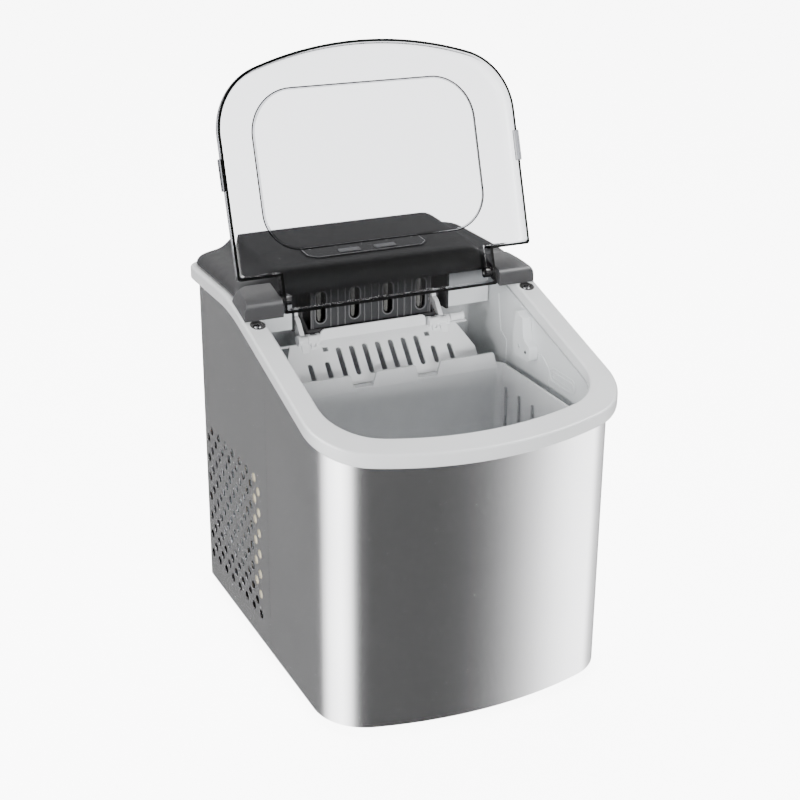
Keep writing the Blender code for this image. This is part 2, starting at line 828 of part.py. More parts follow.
def make_hinge_parts():
    for name, side in (("left", -1), ("right", 1)):
        seat = topLine(-gap, blockFront, blockRear)
        profile = rounded(
            [
                *[(y, z, 0) for y, z in reversed(seat)],
                (blockFront, blockTop - 0.0030, 0.005),
                (blockRear, blockTop + blockRise, 0.001),
            ],
            3,
        )
        x0, x1 = sorted((side * blockInner, side * blockOuter))
        made = mesh_object(f"hinge_block_{name}", slab([profile], x0, x1, sideways))
        outerTop = blockTop + blockRise
        crown = [
            (side * blockInner, frameRearTop - 0.04),
            (side * blockInner, outerTop + 0.01),
            (side * (blockOuter - 0.016), outerTop + 0.001),
            (side * (blockOuter - 0.011), outerTop - 0.0010),
            (side * (blockOuter - 0.006), outerTop - 0.0045),
            (side * (blockOuter - 0.002), outerTop - 0.0095),
            (side * blockOuter, outerTop - 0.0160),
            (side * blockOuter, frameRearTop - 0.04),
        ]
        keep(made, slab([crown], -0.1, 0.1, upright), "crown")
        depth = 0.020
        bore = rod(Vector((side * (blockInner + depth / 2 - 0.001), hinge.y, hinge.z)),
            pinRadius + pinClear, depth + 0.002, "X", 16)
        cut(made, bore, "bore")
        finish(made, greyPlastic)
        start, end = tailHalf - 0.0075, blockInner + depth - 0.002
        pin = rod(Vector((side * (start + end) / 2, hinge.y, hinge.z)), pinRadius, end - start, "X", 16)
        finish(mesh_object(f"hinge_pin_{name}", pin, Vector((0, hinge.y, hinge.z))), nickel)
        head = turned(
            "head",
            [(0.0, 0.0022), (0.0022, 0.0020), (0.0036, 0.0010), (screwHead, 0.0), (0.0, 0.0)],
            20,
        )
        tilt = Matrix.Translation((side * screwX, screwY,
            frameTop(screwY))) @ Matrix.Rotation(frameSlope, 4, "X")
        head.transform(tilt @ Matrix.Translation((0, 0, -0.0023)))
        screw = mesh_object(f"hinge_screw_{name}", head)
        finish(screw, blackMetal)
        bars = gathered([block(-0.0020, 0.0020, -0.0004, 0.0004, 0.0001, 0.01)])
        bars.transform(tilt)
        cut(screw, bars, "slot")


# Tank and ice works


def make_liner():
    outerGrow = frameInnerSkin * 0.65
    shell = mesh_object(
        "tank_liner",
        slab([openingPlan(outerGrow, chamberRear + linerWall)], linerFloor - 0.01, 0.40),
    )
    top = topLine(frameLip + gap, frameFront, chamberRear + linerWall + 0.01)
    outside = [
        (frameFront, linerFloor),
        (tankRear + linerWall, linerFloor),
        (tankRear + linerWall, shelfTop - linerWall),
        (chamberRear + linerWall + 0.01, shelfTop - linerWall),
        *reversed(top),
    ]
    keep(shell, slab([outside], -0.2, 0.2, sideways), "outside")
    room = mesh_object(
        "tank_liner_room",
        slab([openingPlan(outerGrow - linerWall, chamberRear)], linerFloor, 0.45),
        collection=cutters,
    )
    room.hide_render = True
    room.display_type = "WIRE"
    inside = [
        (frameFront, linerFloor + linerWall),
        (tankRear, linerFloor + linerWall),
        (tankRear, shelfTop),
        (chamberRear + 0.02, shelfTop),
        (chamberRear + 0.02, 0.44),
        (frameFront, 0.44),
    ]
    keep(room, slab([inside], -0.2, 0.2, sideways), "inside")
    step = shell.modifiers.new("room", "BOOLEAN")
    step.object = room
    innerHalf = openingHalf + outerGrow - linerWall
    ledges = []
    for side in (-1, 1):
        x0, x1 = sorted((side * (basketHalf - 0.006), side * (innerHalf + 0.001)))
        ledges.append(block(x0, x1, -0.090, 0.005, basketFloor - 0.006, basketFloor - gap))
    join(shell, gathered(ledges), "ledges")
    finish(shell, linerPlastic)


def make_insulation():
    outer = framePlan(overhang + sheet + gap)
    wrap = mesh_object("tank_insulation", slab([outer], linerFloor - foam, 0.40))
    limits = under_frame(frameLip + 0.0012, frameFront, tankRear + linerWall + 0.006, linerFloor - foam)
    keep(wrap, slab([limits], -0.2, 0.2, sideways), "side_shape")
    hollow = openingPlan(frameInnerSkin * 0.65 + gap, tankRear + linerWall + gap, 0.001)
    cut(wrap, slab([hollow], linerFloor - gap, 0.45), "hollow")
    aboveShelf = block(-0.2, 0.2, tankRear - 0.010, 0.06, shelfTop - 0.010, 0.45)
    cut(wrap, aboveShelf, "shelf")
    finish(wrap, foamStuff)


def make_basket():
    corner = openingCorner - 0.010
    outline = plan(basketHalf, basketFront, basketRear, corner, 0.008, 0.345, 6)
    basket = mesh_object("ice_basket", slab([outline], basketFloor, basketTop))
    inner = plan(
        basketHalf - basketWall,
        basketFront + basketWall,
        basketRear - basketWall,
        corner - basketWall,
        0.006,
        0.345 - basketWall,
        6,
    )
    cut(basket, slab([inner], basketFloor + basketWall, basketTop + 0.05), "inside")
    ledge = 0.0065
    rim = block(-basketHalf + 0.008, basketHalf - 0.008, basketRear - ledge, basketRear - 0.001,
        basketTop - 0.004, basketTop - 0.0005)
    join(basket, rim, "rear_rim")
    lips = []
    middle, gapEnd = 0.0235, 0.0415
    slope = 0.004
    for x0, x1 in ((-middle, middle), (gapEnd, basketHalf - 0.008), (-basketHalf + 0.008, -gapEnd)):
        low, high = basketTop - 0.003, lipTop
        outline = [(x0, low), (x1, low), (x1 - slope, high), (x0 + slope, high)]
        lips.append(slab([outline], -basketRear + 0.0040, -basketRear + ledge, upright))
    join(basket, gathered(lips), "lips")
    slots = []
    for k in range(5):
        y = -0.092 + k * slotPitch
        slots.append(slab([slot(y, 0.195, 0.006, 0.064, 3)], -0.2, 0.2, sideways))
    cut(basket, gathered(slots), "side_slots")
    drains = []
    for k in range(7):
        drains.append(slab([slot((k - 3) * 0.028, -0.060, 0.006, 0.110, 3)], basketFloor - 0.01,
            basketFloor + 0.01))
    cut(basket, gathered(drains), "drains")
    finish(basket, basketPlastic)


def polar(radius, angle):
    """A point of the side view at this radius and angle in degrees around the tray's axle."""
    a = math.radians(angle)
    return (trayAxis.y + radius * math.cos(a), trayAxis.z + radius * math.sin(a))


def make_tray():
    outer = trayInner + trayWall
    first, last = 210, 345
    angles = [first + (last - first) * k / 14 for k in range(15)]
    arc = [polar(outer, a) for a in angles] + [polar(trayInner, a) for a in reversed(angles)]
    tray = mesh_object("water_tray", slab([arc], -trayHalf, trayHalf, sideways), trayAxis)
    ends, stubs = [], []
    sector = [polar(outer - 0.0005, a) for a in angles] + [polar(0.006, a) for a in (last, 60, 120, first)]
    for side in (-1, 1):
        x0, x1 = sorted((side * (trayHalf - trayWall), side * (trayHalf - 0.0001)))
        ends.append(slab([sector], x0, x1, sideways))
        length = 0.0195 if side < 0 else 0.025
        middle = side * (trayHalf - 0.001 + length / 2)
        stubs.append(rod(Vector((middle, trayAxis.y, trayAxis.z)), axleRadius, length, "X", 16))
    for mesh in (gathered(ends), gathered(stubs)):
        helper = join(tray, mesh, "ends" if len(tray.modifiers) == 0 else "stubs")
        helper.location = (0, 0, 0)
    finish(tray, whitePlastic)


def make_shovel():
    upper = Vector((0.0625, 0.2755))
    slope = math.radians(48.2)
    along = Vector((math.cos(slope), math.sin(slope)))
    across = Vector((-along.y, along.x))
    length = 0.0425
    lower = upper - along * length
    under = -across * shovelThick
    flangeTop = 0.2895
    section = [
        tuple(lower),
        tuple(upper),
        (0.0662, 0.2790),
        (0.0662, flangeTop),
        (0.0682, flangeTop),
        (0.0682, 0.2770),
        tuple(upper + under),
        tuple(lower + under),
    ]
    shovel = mesh_object("ice_shovel", slab([section], -shovelHalf, shovelHalf, sideways), trayAxis)
    sideCuts = []
    for side in (-1, 1):
        x0, x1 = sorted((side * 0.054, side * (shovelHalf + 0.01)))
        sideCuts.append(block(x0, x1, 0.0640, 0.080, 0.2784, 0.30))
    cut(shovel, gathered(sideCuts), "flange_ends")
    plate = Matrix.Translation((0, lower.x, lower.y)) @ Matrix.Rotation(slope, 4, "X")
    slots = []
    for k in range(7):
        slots.append(slot((k - 3) * shovelSlot, length - 0.018, 0.0043, 0.027, 3))
    for side in (-1, 1):
        for x in (0.054, 0.071):
            slots.append(slot(side * x, length - 0.0255, 0.0043, 0.016, 3))
    holes = gathered([slab([outline], -0.01, 0.01) for outline in slots])
    holes.transform(plate)
    cut(shovel, holes, "slots")
    arms, eyes = [], []
    for side in (-1, 1):
        x0, x1 = sorted((side * 0.0690, side * 0.0735))
        eye = [polar(0.0062, a) for a in range(-60, 181, 30)]
        arm = [tuple(upper + under * 0.9), tuple(upper + Vector((0.0005, 0.0003))), (0.0675, 0.2850),
            (0.0780, 0.2975)]
        arms.append(slab([arm + eye[::-1] + [(0.0905, 0.2915)]], x0, x1, sideways))
        eyes.append(rod(Vector(((x0 + x1) / 2, trayAxis.y, trayAxis.z)), axleRadius + gap, 0.012, "X", 16))
    join(shovel, gathered(arms), "arms")
    cut(shovel, gathered(eyes), "eyes")
    finish(shovel, whitePlastic)


def make_housing():
    back = chamberRear - gap
    house = mesh_object("evaporator_housing", block(-housingHalf, housingHalf, back - 0.0028, back,
        0.286, housingTop))
    roof = block(-housingHalf, housingHalf, 0.0700, back - 0.0005, housingTop - 0.0030, housingTop)
    walls, cheeks, bores, ribs, holes = [], [], [], [], []
    for side in (-1, 1):
        x0, x1 = sorted((side * (housingHalf - 0.0025), side * housingHalf))
        profile = box(cheekFront + 0.0004, back - 0.001, 0.2905, housingTop - 0.001)
        walls.append(slab([profile], x0, x1, sideways))
        bores.append(rod(Vector(((x0 + x1) / 2, trayAxis.y, trayAxis.z)), axleRadius + gap, 0.010, "X", 16))
        c0, c1 = sorted((side * (housingHalf - 0.0012), side * cheekHalf))
        cheeks.append(block(c0, c1, cheekFront + 0.0008, cheekFront + 0.0022, 0.2920, housingTop - 0.0016))
    for k in range(-2, 3):
        x = k * fingerPitch
        ribs.append(block(x - 0.0015, x + 0.0015, back - 0.0045, back - 0.002, 0.288, housingTop - 0.001))
    for x, y in finger_places():
        holes.append(rod(Vector((x, y, housingTop)), fingerRadius + gap, 0.02, "Z", 14))
    join(house, roof, "roof")
    join(house, gathered(walls), "walls")
    join(house, gathered(cheeks), "cheeks")
    join(house, gathered(ribs), "ribs")
    cut(house, gathered(bores), "bores")
    cut(house, gathered(holes), "finger_holes")
    finish(house, greyPlastic)


def finger_places():
    front = [((k - 1.5) * fingerPitch, fingerRows[0]) for k in range(4)]
    rear = [((k - 1) * fingerPitch, fingerRows[1]) for k in range(3)]
    return front + rear


def make_evaporator():
    level = housingTop + 0.0045
    route = bent(
        [
            (0.092, fingerRows[1], level, 0),
            (-0.066, fingerRows[1], level, 0.0095),
            (-0.066, fingerRows[0], level, 0.0095),
            (0.092, fingerRows[0], level, 0),
        ],
        5,
    )
    made = mesh_object("evaporator", tube(route, 0.0040, 2))
    fingers = []
    for x, y in finger_places():
        top = level + 0.0007
        profile = [(0.0, top), (fingerRadius, top), (fingerRadius, fingerTip + 0.004)]
        profile += [(fingerRadius * 0.72, fingerTip + 0.0012), (0.0, fingerTip)]
        finger = turned("finger", profile, 14)
        finger.transform(Matrix.Translation((x, y, 0)))
        fingers.append(finger)
    join(made, gathered(fingers), "fingers")
    finish(made, nickel)


def make_motor():
    x0 = housingHalf + 0.0006
    body = rod(Vector((x0 + 0.0105, trayAxis.y, trayAxis.z)), motorRadius, 0.021, "X", 24)
    motor = mesh_object("tray_motor", body)
    ears = slab([slot(trayAxis.y, trayAxis.z, 2 * motorRadius + 0.0090, 0.010, 3)], x0 + 0.0002,
        x0 + 0.0022, sideways)
    join(motor, ears, "ears")
    bore = rod(Vector((x0 + 0.004, trayAxis.y, trayAxis.z)), axleRadius + gap, 0.016, "X", 16)
    cut(motor, bore, "bore")
    finish(motor, whitePlastic)


def make_sensor():
    wall = openingHalf + frameInnerSkin * 0.65 - linerWall
    drop = frameLip + 2 * gap
    outline = rounded(
        [
            (-0.025, 0.262, 0.004),
            (0.004, 0.262, 0.004),
            (0.006, 0.280, 0.010),
            (0.002, frameTop(0.002) - drop, 0.001),
            (-0.010, frameTop(-0.010) - drop, 0.001),
            (-0.014, 0.280, 0.012),
            (-0.025, 0.276, 0.004),
        ],
        3,
    )
    sensor = mesh_object("ice_sensor", slab([outline], wall - 0.0095, wall - gap, sideways))
    window = rod(Vector((wall - 0.0095, -0.006, 0.272)), 0.0022, 0.003, "X", 12)
    cut(sensor, window, "eye")
    finish(sensor, linerPlastic)


# Cooling system and the rest inside the case


def make_compressor():
    r = compressorRadius
    profile = [
        (0.0, 0.140),
        (r * 0.45, 0.138),
        (r * 0.80, 0.128),
        (r * 0.97, 0.112),
        (r, 0.090),
        (r + 0.0015, 0.088),
        (r + 0.0015, 0.084),
        (r, 0.082),
        (r, 0.040),
        (r * 0.8, 0.024),
        (0.0, 0.021),
    ]
    made = mesh_object("compressor", turned("compressor", profile, 24))
    made.location = compressorCentre
    feet = slab([rounded([(a * 0.048, b * 0.048, 0.008) for a,
        b in ((1, 1), (-1, 1), (-1, -1), (1, -1))])], baseTop + 0.006, 0.026)
    helper = join(made, feet, "foot_plate")
    helper.location = compressorCentre
    pads = [rod(Vector((a * 0.040, b * 0.040, (baseTop + 0.0175) / 2 + gap / 2)), 0.007,
        0.0175 - baseTop - gap, "Z", 12) for a in (-1, 1) for b in (-1, 1)]
    helper = join(made, gathered(pads), "grommets")
    helper.location = compressorCentre
    finish(made, blackMetal)


def make_condenser():
    sx, sy, sz = condenserSize
    x0 = -panelHalf + sheet + 0.006
    y0, z0 = fanCentre.y - sy / 2, fanCentre.z - sz / 2
    made = mesh_object("condenser", block(x0, x0 + sx, y0, y0 + sy, z0, z0 + sz))
    grooves = []
    for k in range(12):
        y = y0 + sy * (k + 0.5) / 12
        grooves.append(block(x0 - 0.01, x0 + 0.007, y - 0.0022, y + 0.0022, z0 + 0.006, z0 + sz - 0.006))
        grooves.append(block(x0 + sx - 0.007, x0 + sx + 0.01, y - 0.0022, y + 0.0022, z0 + 0.006,
            z0 + sz - 0.006))
    cut(made, gathered(grooves), "fins")
    legs = [block(x0 + 0.004, x0 + sx - 0.004, y, y + 0.004, baseTop + gap, z0 + 0.001) for y in (y0,
        y0 + sy - 0.004)]
    join(made, gathered(legs), "legs")
    finish(made, aluminium)


def make_fan():
    sx, sy, sz = condenserSize
    x0 = -panelHalf + sheet + 0.006 + sx + gap
    depth = 0.024
    c = fanCentre
    square = rounded([(c.y + a * 0.0475, c.z + b * 0.0475, 0.006) for a,
        b in ((1, 1), (-1, 1), (-1, -1), (1, -1))], 3)
    ring = [square, circle(c.y, c.z, fanRadius + 0.0015, 28)]
    shroud = mesh_object("fan_shroud", slab(ring, x0, x0 + depth, sideways))
    bars = [slab([box(c.y - 0.046, c.y + 0.046, c.z - 0.003, c.z + 0.003)], x0 + depth - 0.003,
        x0 + depth, sideways)]
    join(shroud, gathered(bars), "spider")
    cut(shroud, rod(Vector((x0 + depth, c.y, c.z)), 0.0045, 0.02, "X", 16), "seat")
    legs = [
        block(x0 + 0.006, x0 + depth - 0.006, c.y + s * 0.040 - 0.003, c.y + s * 0.040 + 0.003,
            baseTop + gap, c.z - 0.0470)
        for s in (-1, 1)
    ]
    join(shroud, gathered(legs), "legs")
    finish(shroud, charcoal)
    hubX = x0 + 0.009
    hub = rod(Vector((hubX, c.y, c.z)), 0.013, 0.012, "X", 20)
    blade = mesh_object("fan_blade", hub, c.copy())
    vanes = []
    for k in range(5):
        vane = block(-0.0045, 0.0045, -0.0008, 0.0008, 0.011, fanRadius)
        pitch = Matrix.Rotation(math.radians(38), 4, "Z")
        spin = Matrix.Rotation(2 * math.pi * k / 5, 4, "X")
        spread = vane.copy()
        for vertex in spread.vertices:
            wide = 1 + 1.1 * (vertex.co.z - 0.011) / (fanRadius - 0.011)
            vertex.co = (vertex.co.x * wide, vertex.co.y, vertex.co.z)
        spread.transform(Matrix.Translation((hubX, c.y, c.z)) @ spin @ pitch)
        vanes.append(spread)
    join(blade, gathered(vanes), "vanes")
    hole = rod(Vector((hubX, c.y, c.z)), 0.0018, 0.03, "X", 12)
    cut(blade, hole, "bore")
    finish(blade, greyPlastic)
    motorX = x0 + depth + gap
    motor = mesh_object("fan_motor", rod(Vector((motorX + 0.010, c.y, c.z)), 0.017, 0.020, "X", 24))
    join(motor, rod(Vector((hubX + 0.014, c.y, c.z)), 0.0015, 0.036, "X", 12), "shaft")
    join(motor, rod(Vector((motorX - 0.001, c.y, c.z)), 0.0040, 0.006, "X", 16), "nose")
    finish(motor, blackMetal)


def make_plumbing():
    c = compressorCentre
    drier = turned("drier", [(0.0, 0.052), (0.003, 0.052), (0.009, 0.044), (0.009, 0.012), (0.003,
        0.004), (0.0, 0.004)], 16)
    drier.transform(Matrix.Translation((-0.010, 0.150, baseTop + 0.001)))
    finish(mesh_object("filter_drier", drier), copper)
    up = chamberRear + linerWall + 0.008
    suction = bent(
        [
            (c.x + 0.020, c.y, 0.1400, 0),
            (c.x + 0.020, c.y, 0.1700, 0.010),
            (c.x + 0.020, up, 0.1700, 0.010),
            (c.x + 0.020, up, housingTop + 0.004, 0),
        ]
    )
    finish(mesh_object("suction_tube", tube(suction, 0.003, 1)), copper)
    condenserX = -panelHalf + sheet + 0.006 + condenserSize[0] / 2
    discharge = bent(
        [
            (c.x - 0.016, c.y + 0.010, 0.1420, 0),
            (c.x - 0.016, c.y + 0.010, 0.1900, 0.012),
            (condenserX, c.y + 0.010, 0.1900, 0.012),
            (condenserX, c.y + 0.010, fanCentre.z + condenserSize[2] / 2 + gap, 0),
        ]
    )
    finish(mesh_object("discharge_tube", tube(discharge, 0.003, 1)), copper)


def make_water_parts():
    x, y = -0.030, 0.060
    pump = mesh_object("water_pump", rod(Vector((x, y, baseTop + gap + 0.018)), 0.016, 0.036, "Z", 20))
    join(pump, rod(Vector((x, y, baseTop + 0.040)), 0.0045, 0.014, "Z", 12), "outlet")
    finish(pump, blackMetal)
    up = chamberRear + linerWall + 0.010
    hose = bent(
        [
            (x, y, baseTop + 0.0475, 0),
            (x, y, 0.100, 0.020),
            (x, up, 0.160, 0.020),
            (x, up, housingTop - 0.004, 0),
        ]
    )
    finish(mesh_object("fill_hose", tube(hose, 0.0040, 2)), rubber)
    x0, x1 = 0.092, panelHalf - sheet - gap
    spout = mesh_object("drain_spout", rod(Vector(((x0 + x1) / 2, drainY, drainZ)), 0.0100, x1 - x0, "X",
        20))
    stand = block(x0 + 0.004, x1 - 0.004, drainY - 0.004, drainY + 0.004, baseTop + gap, drainZ - 0.008)
    join(spout, stand, "stand")
    cut(spout, rod(Vector((x1, drainY, drainZ)), 0.0064, 0.060, "X", 16), "bore")
    finish(spout, whitePlastic)
    cap = rod(Vector((panelHalf + 0.0020 + gap, drainY, drainZ)), 0.0105, 0.004, "X", 20)
    plug = mesh_object("drain_plug", cap)
    join(plug, rod(Vector((panelHalf - 0.0085, drainY, drainZ)), 0.0060, 0.019, "X", 16), "stem")
    finish(plug, rubber)


def make_boards():
    stand = block(0.028, 0.118, 0.1555, 0.1571, 0.085, 0.165)
    made = mesh_object("main_board", stand)
    chips = [block(0.036, 0.062, 0.145, 0.1558, 0.095, 0.118),
        block(0.076, 0.092, 0.148, 0.1558, 0.130, 0.152)]
    join(made, gathered(chips), "components")
    posts = [block(x, x + 0.004, 0.1568, panelRear - sheet - gap, z, z + 0.004) for x in (0.030,
        0.112) for z in (0.088, 0.158)]
    join(made, gathered(posts), "posts")
    finish(made, board)


def make_gland():
    stem = rod(Vector((glandX, panelRear, glandZ)), 0.0070, 0.010, "Y", 16)
    made = mesh_object("cord_gland", stem)
    join(made, rod(Vector((glandX, panelRear + 0.0020 + gap, glandZ)), 0.0105, 0.0040, "Y", 20), "collar")
    cut(made, rod(Vector((glandX, panelRear, glandZ)), 0.0032, 0.040, "Y", 12), "bore")
    finish(made, rubber)


make_base()
make_feet()
make_front_panel()
make_side_panels()
make_rear_panel()
make_top_frame()
make_rear_cover()
make_controls()
make_lid()
make_hinge_parts()
make_liner()
make_insulation()
make_basket()
make_tray()
make_shovel()
make_housing()
make_evaporator()
make_motor()
make_sensor()
make_compressor()
make_condenser()
make_fan()
make_plumbing()
make_water_parts()
make_boards()
make_gland()
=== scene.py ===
# Countertop ice maker with its lid standing open. Metres, +Z up, front towards -Y.
import math

import bmesh
import bpy
from mathutils import Matrix, Vector


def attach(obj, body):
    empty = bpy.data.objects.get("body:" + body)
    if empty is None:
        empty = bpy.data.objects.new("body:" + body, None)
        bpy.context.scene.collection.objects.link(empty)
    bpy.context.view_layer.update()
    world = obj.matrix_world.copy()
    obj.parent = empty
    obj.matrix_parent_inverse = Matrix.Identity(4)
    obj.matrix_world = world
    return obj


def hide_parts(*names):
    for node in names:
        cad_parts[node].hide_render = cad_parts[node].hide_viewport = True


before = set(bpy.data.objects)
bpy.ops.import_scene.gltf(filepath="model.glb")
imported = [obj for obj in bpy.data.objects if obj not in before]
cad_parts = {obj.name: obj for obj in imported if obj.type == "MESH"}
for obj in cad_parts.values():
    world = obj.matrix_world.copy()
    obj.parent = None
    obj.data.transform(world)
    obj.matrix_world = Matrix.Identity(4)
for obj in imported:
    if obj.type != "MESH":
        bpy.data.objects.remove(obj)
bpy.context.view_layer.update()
print("frame loaded:", len(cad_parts), "nodes")

# camera

cameraSetup = {
    "place": (-0.5671, -1.1806, 0.7673),
    "aim": (-0.0040, 0.0, 0.2359),
    "lens": 69.86,
    "sensor": 36.0,
    "roll": 0.40,  # degrees
}


def makeCamera(setup):
    data = bpy.data.cameras.new("camera")
    data.lens = setup["lens"]
    data.sensor_width = setup["sensor"]
    camera = bpy.data.objects.new("camera", data)
    bpy.context.scene.collection.objects.link(camera)
    place = Vector(setup["place"])
    look = (Vector(setup["aim"]) - place).normalized()
    right = look.cross(Vector((0, 0, 1))).normalized()
    up = right.cross(look)
    roll = math.radians(setup["roll"])
    across = right * math.cos(roll) + up * math.sin(roll)
    upright = up * math.cos(roll) - right * math.sin(roll)
    turn = Matrix((across, upright, -look)).transposed().to_4x4()
    camera.matrix_world = Matrix.Translation(place) @ turn
    bpy.context.scene.camera = camera


makeCamera(cameraSetup)


# node helpers


def newMaterial(name):
    made = bpy.data.materials.new(name)
    made.use_nodes = True
    tree = made.node_tree
    return made, tree, tree.nodes["Principled BSDF"]


def addNode(tree, kind, settings=None, values=None):
    node = tree.nodes.new(kind)
    for name, value in (settings or {}).items():
        setattr(node, name, value)
    for name, value in (values or {}).items():
        node.inputs[name].default_value = value
    return node


def objectSpace(tree, scale=(1, 1, 1), turn=(0, 0, 0)):
    coordinates = addNode(tree, "ShaderNodeTexCoord")
    mapping = addNode(tree, "ShaderNodeMapping", None, {"Scale": scale, "Rotation": turn})
    tree.links.new(coordinates.outputs["Object"], mapping.inputs["Vector"])
    return mapping.outputs["Vector"]


def noiseAt(tree, vector, scale, detail=3.0, roughness=0.55):
    values = {"Scale": scale, "Detail": detail, "Roughness": roughness}
    noise = addNode(tree, "ShaderNodeTexNoise", None, values)
    tree.links.new(vector, noise.inputs["Vector"])
    return noise.outputs["Fac"]


def spread(tree, source, low, high):
    made = addNode(tree, "ShaderNodeMapRange", None,
        {"From Min": 0.25, "From Max": 0.75, "To Min": low, "To Max": high})
    tree.links.new(source, made.inputs["Value"])
    return made.outputs["Result"]


def tint(tree, source, low, high):
    ramp = addNode(tree, "ShaderNodeValToRGB")
    ramp.color_ramp.elements[0].color = (*low, 1)
    ramp.color_ramp.elements[1].color = (*high, 1)
    ramp.color_ramp.elements[0].position = 0.3
    ramp.color_ramp.elements[1].position = 0.7
    tree.links.new(source, ramp.inputs["Fac"])
    return ramp.outputs["Color"]


def bump(tree, shader, height, strength, distance):
    made = addNode(tree, "ShaderNodeBump", None, {"Strength": strength, "Distance": distance})
    tree.links.new(height, made.inputs["Height"])
    tree.links.new(made.outputs["Normal"], shader.inputs["Normal"])
    return made


# finishes

plasticLook = {"cloud": 18.0, "grain": 1400.0}


def mouldedPlastic(name, low, high, rough=(0.34, 0.44), grain=0.12, coat=0.0, through=0.0, shine=0.5):
    made, tree, shader = newMaterial(name)
    space = objectSpace(tree)
    cloud = noiseAt(tree, space, plasticLook["cloud"], 2.0)
    tree.links.new(tint(tree, cloud, low, high), shader.inputs["Base Color"])
    fine = noiseAt(tree, space, plasticLook["grain"], 2.0)
    tree.links.new(spread(tree, noiseAt(tree, space, 120.0, 3.0), *rough), shader.inputs["Roughness"])
    bump(tree, shader, fine, grain, 0.0001)
    shader.inputs["Coat Weight"].default_value = coat
    shader.inputs["Specular IOR Level"].default_value = shine
    shader.inputs["Subsurface Weight"].default_value = through
    shader.inputs["Subsurface Radius"].default_value = (0.006, 0.006, 0.006)
    shader.inputs["Subsurface Scale"].default_value = 1.0
    return made


def brushedSteel(name, along, colour=((0.60, 0.60, 0.61), (0.66, 0.66, 0.67))):
    made, tree, shader = newMaterial(name)
    space = objectSpace(tree, along)
    lines = noiseAt(tree, space, 1.0, 2.0, 0.6)
    broad = noiseAt(tree, objectSpace(tree), 7.0, 2.0)
    tree.links.new(tint(tree, broad, *colour), shader.inputs["Base Color"])
    tree.links.new(spread(tree, lines, 0.165, 0.195), shader.inputs["Roughness"])
    shader.inputs["Metallic"].default_value = 1.0
    shader.inputs["Anisotropic"].default_value = 0.6
    tangent = addNode(tree, "ShaderNodeTangent", {"direction_type": "RADIAL", "axis": "Z"})
    tree.links.new(tangent.outputs["Tangent"], shader.inputs["Tangent"])
    bump(tree, shader, lines, 0.012, 0.0001)
    return made


def plainMetal(name, low, high, rough=(0.22, 0.36), scale=60.0):
    made, tree, shader = newMaterial(name)
    space = objectSpace(tree)
    tree.links.new(tint(tree, noiseAt(tree, space, scale), low, high), shader.inputs["Base Color"])
    tree.links.new(spread(tree, noiseAt(tree, space, scale * 6), *rough), shader.inputs["Roughness"])
    shader.inputs["Metallic"].default_value = 1.0
    bump(tree, shader, noiseAt(tree, space, 900.0), 0.08, 0.0001)
    return made


smokedLook = {"colour": (0.98, 0.98, 0.98, 1), "absorb": (0.50, 0.505, 0.52, 1), "density": 760.0,
    "ior": 1.49}


def smokedClear(look):
    made, tree, shader = newMaterial("smokedClear")
    shader.inputs["Base Color"].default_value = look["colour"]
    shader.inputs["Transmission Weight"].default_value = 1.0
    shader.inputs["IOR"].default_value = look["ior"]
    space = objectSpace(tree)
    tree.links.new(spread(tree, noiseAt(tree, space, 90.0), 0.015, 0.045), shader.inputs["Roughness"])
    inside = addNode(tree, "ShaderNodeVolumeAbsorption", None,
        {"Color": look["absorb"], "Density": look["density"]})
    tree.links.new(inside.outputs["Volume"], tree.nodes["Material Output"].inputs["Volume"])
    return made


steelFront = brushedSteel("steelFront", (4.0, 4.0, 2600.0))
whiteSatin = mouldedPlastic("whiteSatin", (0.70, 0.71, 0.72), (0.74, 0.75, 0.76), (0.30, 0.40), 0.08)
linerWhite = mouldedPlastic("linerWhite", (0.62, 0.64, 0.65), (0.66, 0.68, 0.69), (0.36, 0.48), 0.10)
trayGrey = mouldedPlastic("trayGrey", (0.05, 0.05, 0.052), (0.07, 0.07, 0.072), (0.34, 0.44), 0.06,
    shine=0.3)
basketWhite = mouldedPlastic("basketWhite", (0.60, 0.61, 0.62), (0.65, 0.66, 0.67), (0.28, 0.40), 0.05,
    0.0, 0.15)
worksWhite = mouldedPlastic("worksWhite", (0.78, 0.79, 0.80), (0.84, 0.85, 0.86), (0.30, 0.42), 0.06)
charcoal = mouldedPlastic("charcoalGrain", (0.013, 0.013, 0.014), (0.018, 0.018, 0.019), (0.36, 0.46),
    0.30, shine=0.35)
darkGrey = mouldedPlastic("darkGreyPlastic", (0.040, 0.040, 0.042), (0.050, 0.050, 0.052), (0.36, 0.46),
    0.10, shine=0.4)
housingGrey = mouldedPlastic("housingGrey", (0.020, 0.021, 0.022), (0.030, 0.031, 0.033), (0.40, 0.50),
    0.05, shine=0.25)
# very dark grey of the finger screen: partly its own dark plastic, partly painted shade for its place under
# the rear cover
curtainGrey = mouldedPlastic("curtainGrey", (0.030, 0.031, 0.033), (0.045, 0.046, 0.048), (0.16, 0.24),
    0.03, shine=0.4)
ribGrey = mouldedPlastic("ribGrey", (0.10, 0.10, 0.105), (0.14, 0.14, 0.145), (0.12, 0.20), 0.03)
overlayFilm = mouldedPlastic("overlayFilm", (0.014, 0.014, 0.016), (0.019, 0.019, 0.021), (0.20, 0.28),
    0.05, 0.3)
buttonGrey = mouldedPlastic("buttonGrey", (0.25, 0.25, 0.26), (0.30, 0.30, 0.31), (0.34, 0.44), 0.15)
printGrey = mouldedPlastic("printGrey", (0.44, 0.44, 0.45), (0.50, 0.50, 0.51), (0.4, 0.5), 0.05)
lensClear = mouldedPlastic("indicatorLens", (0.46, 0.47, 0.48), (0.54, 0.55, 0.56), (0.12, 0.2), 0.02, 0.6)
rubberBlack = mouldedPlastic("rubberBlack", (0.016, 0.016, 0.016), (0.026, 0.026, 0.026), (0.62, 0.78),
    0.45)
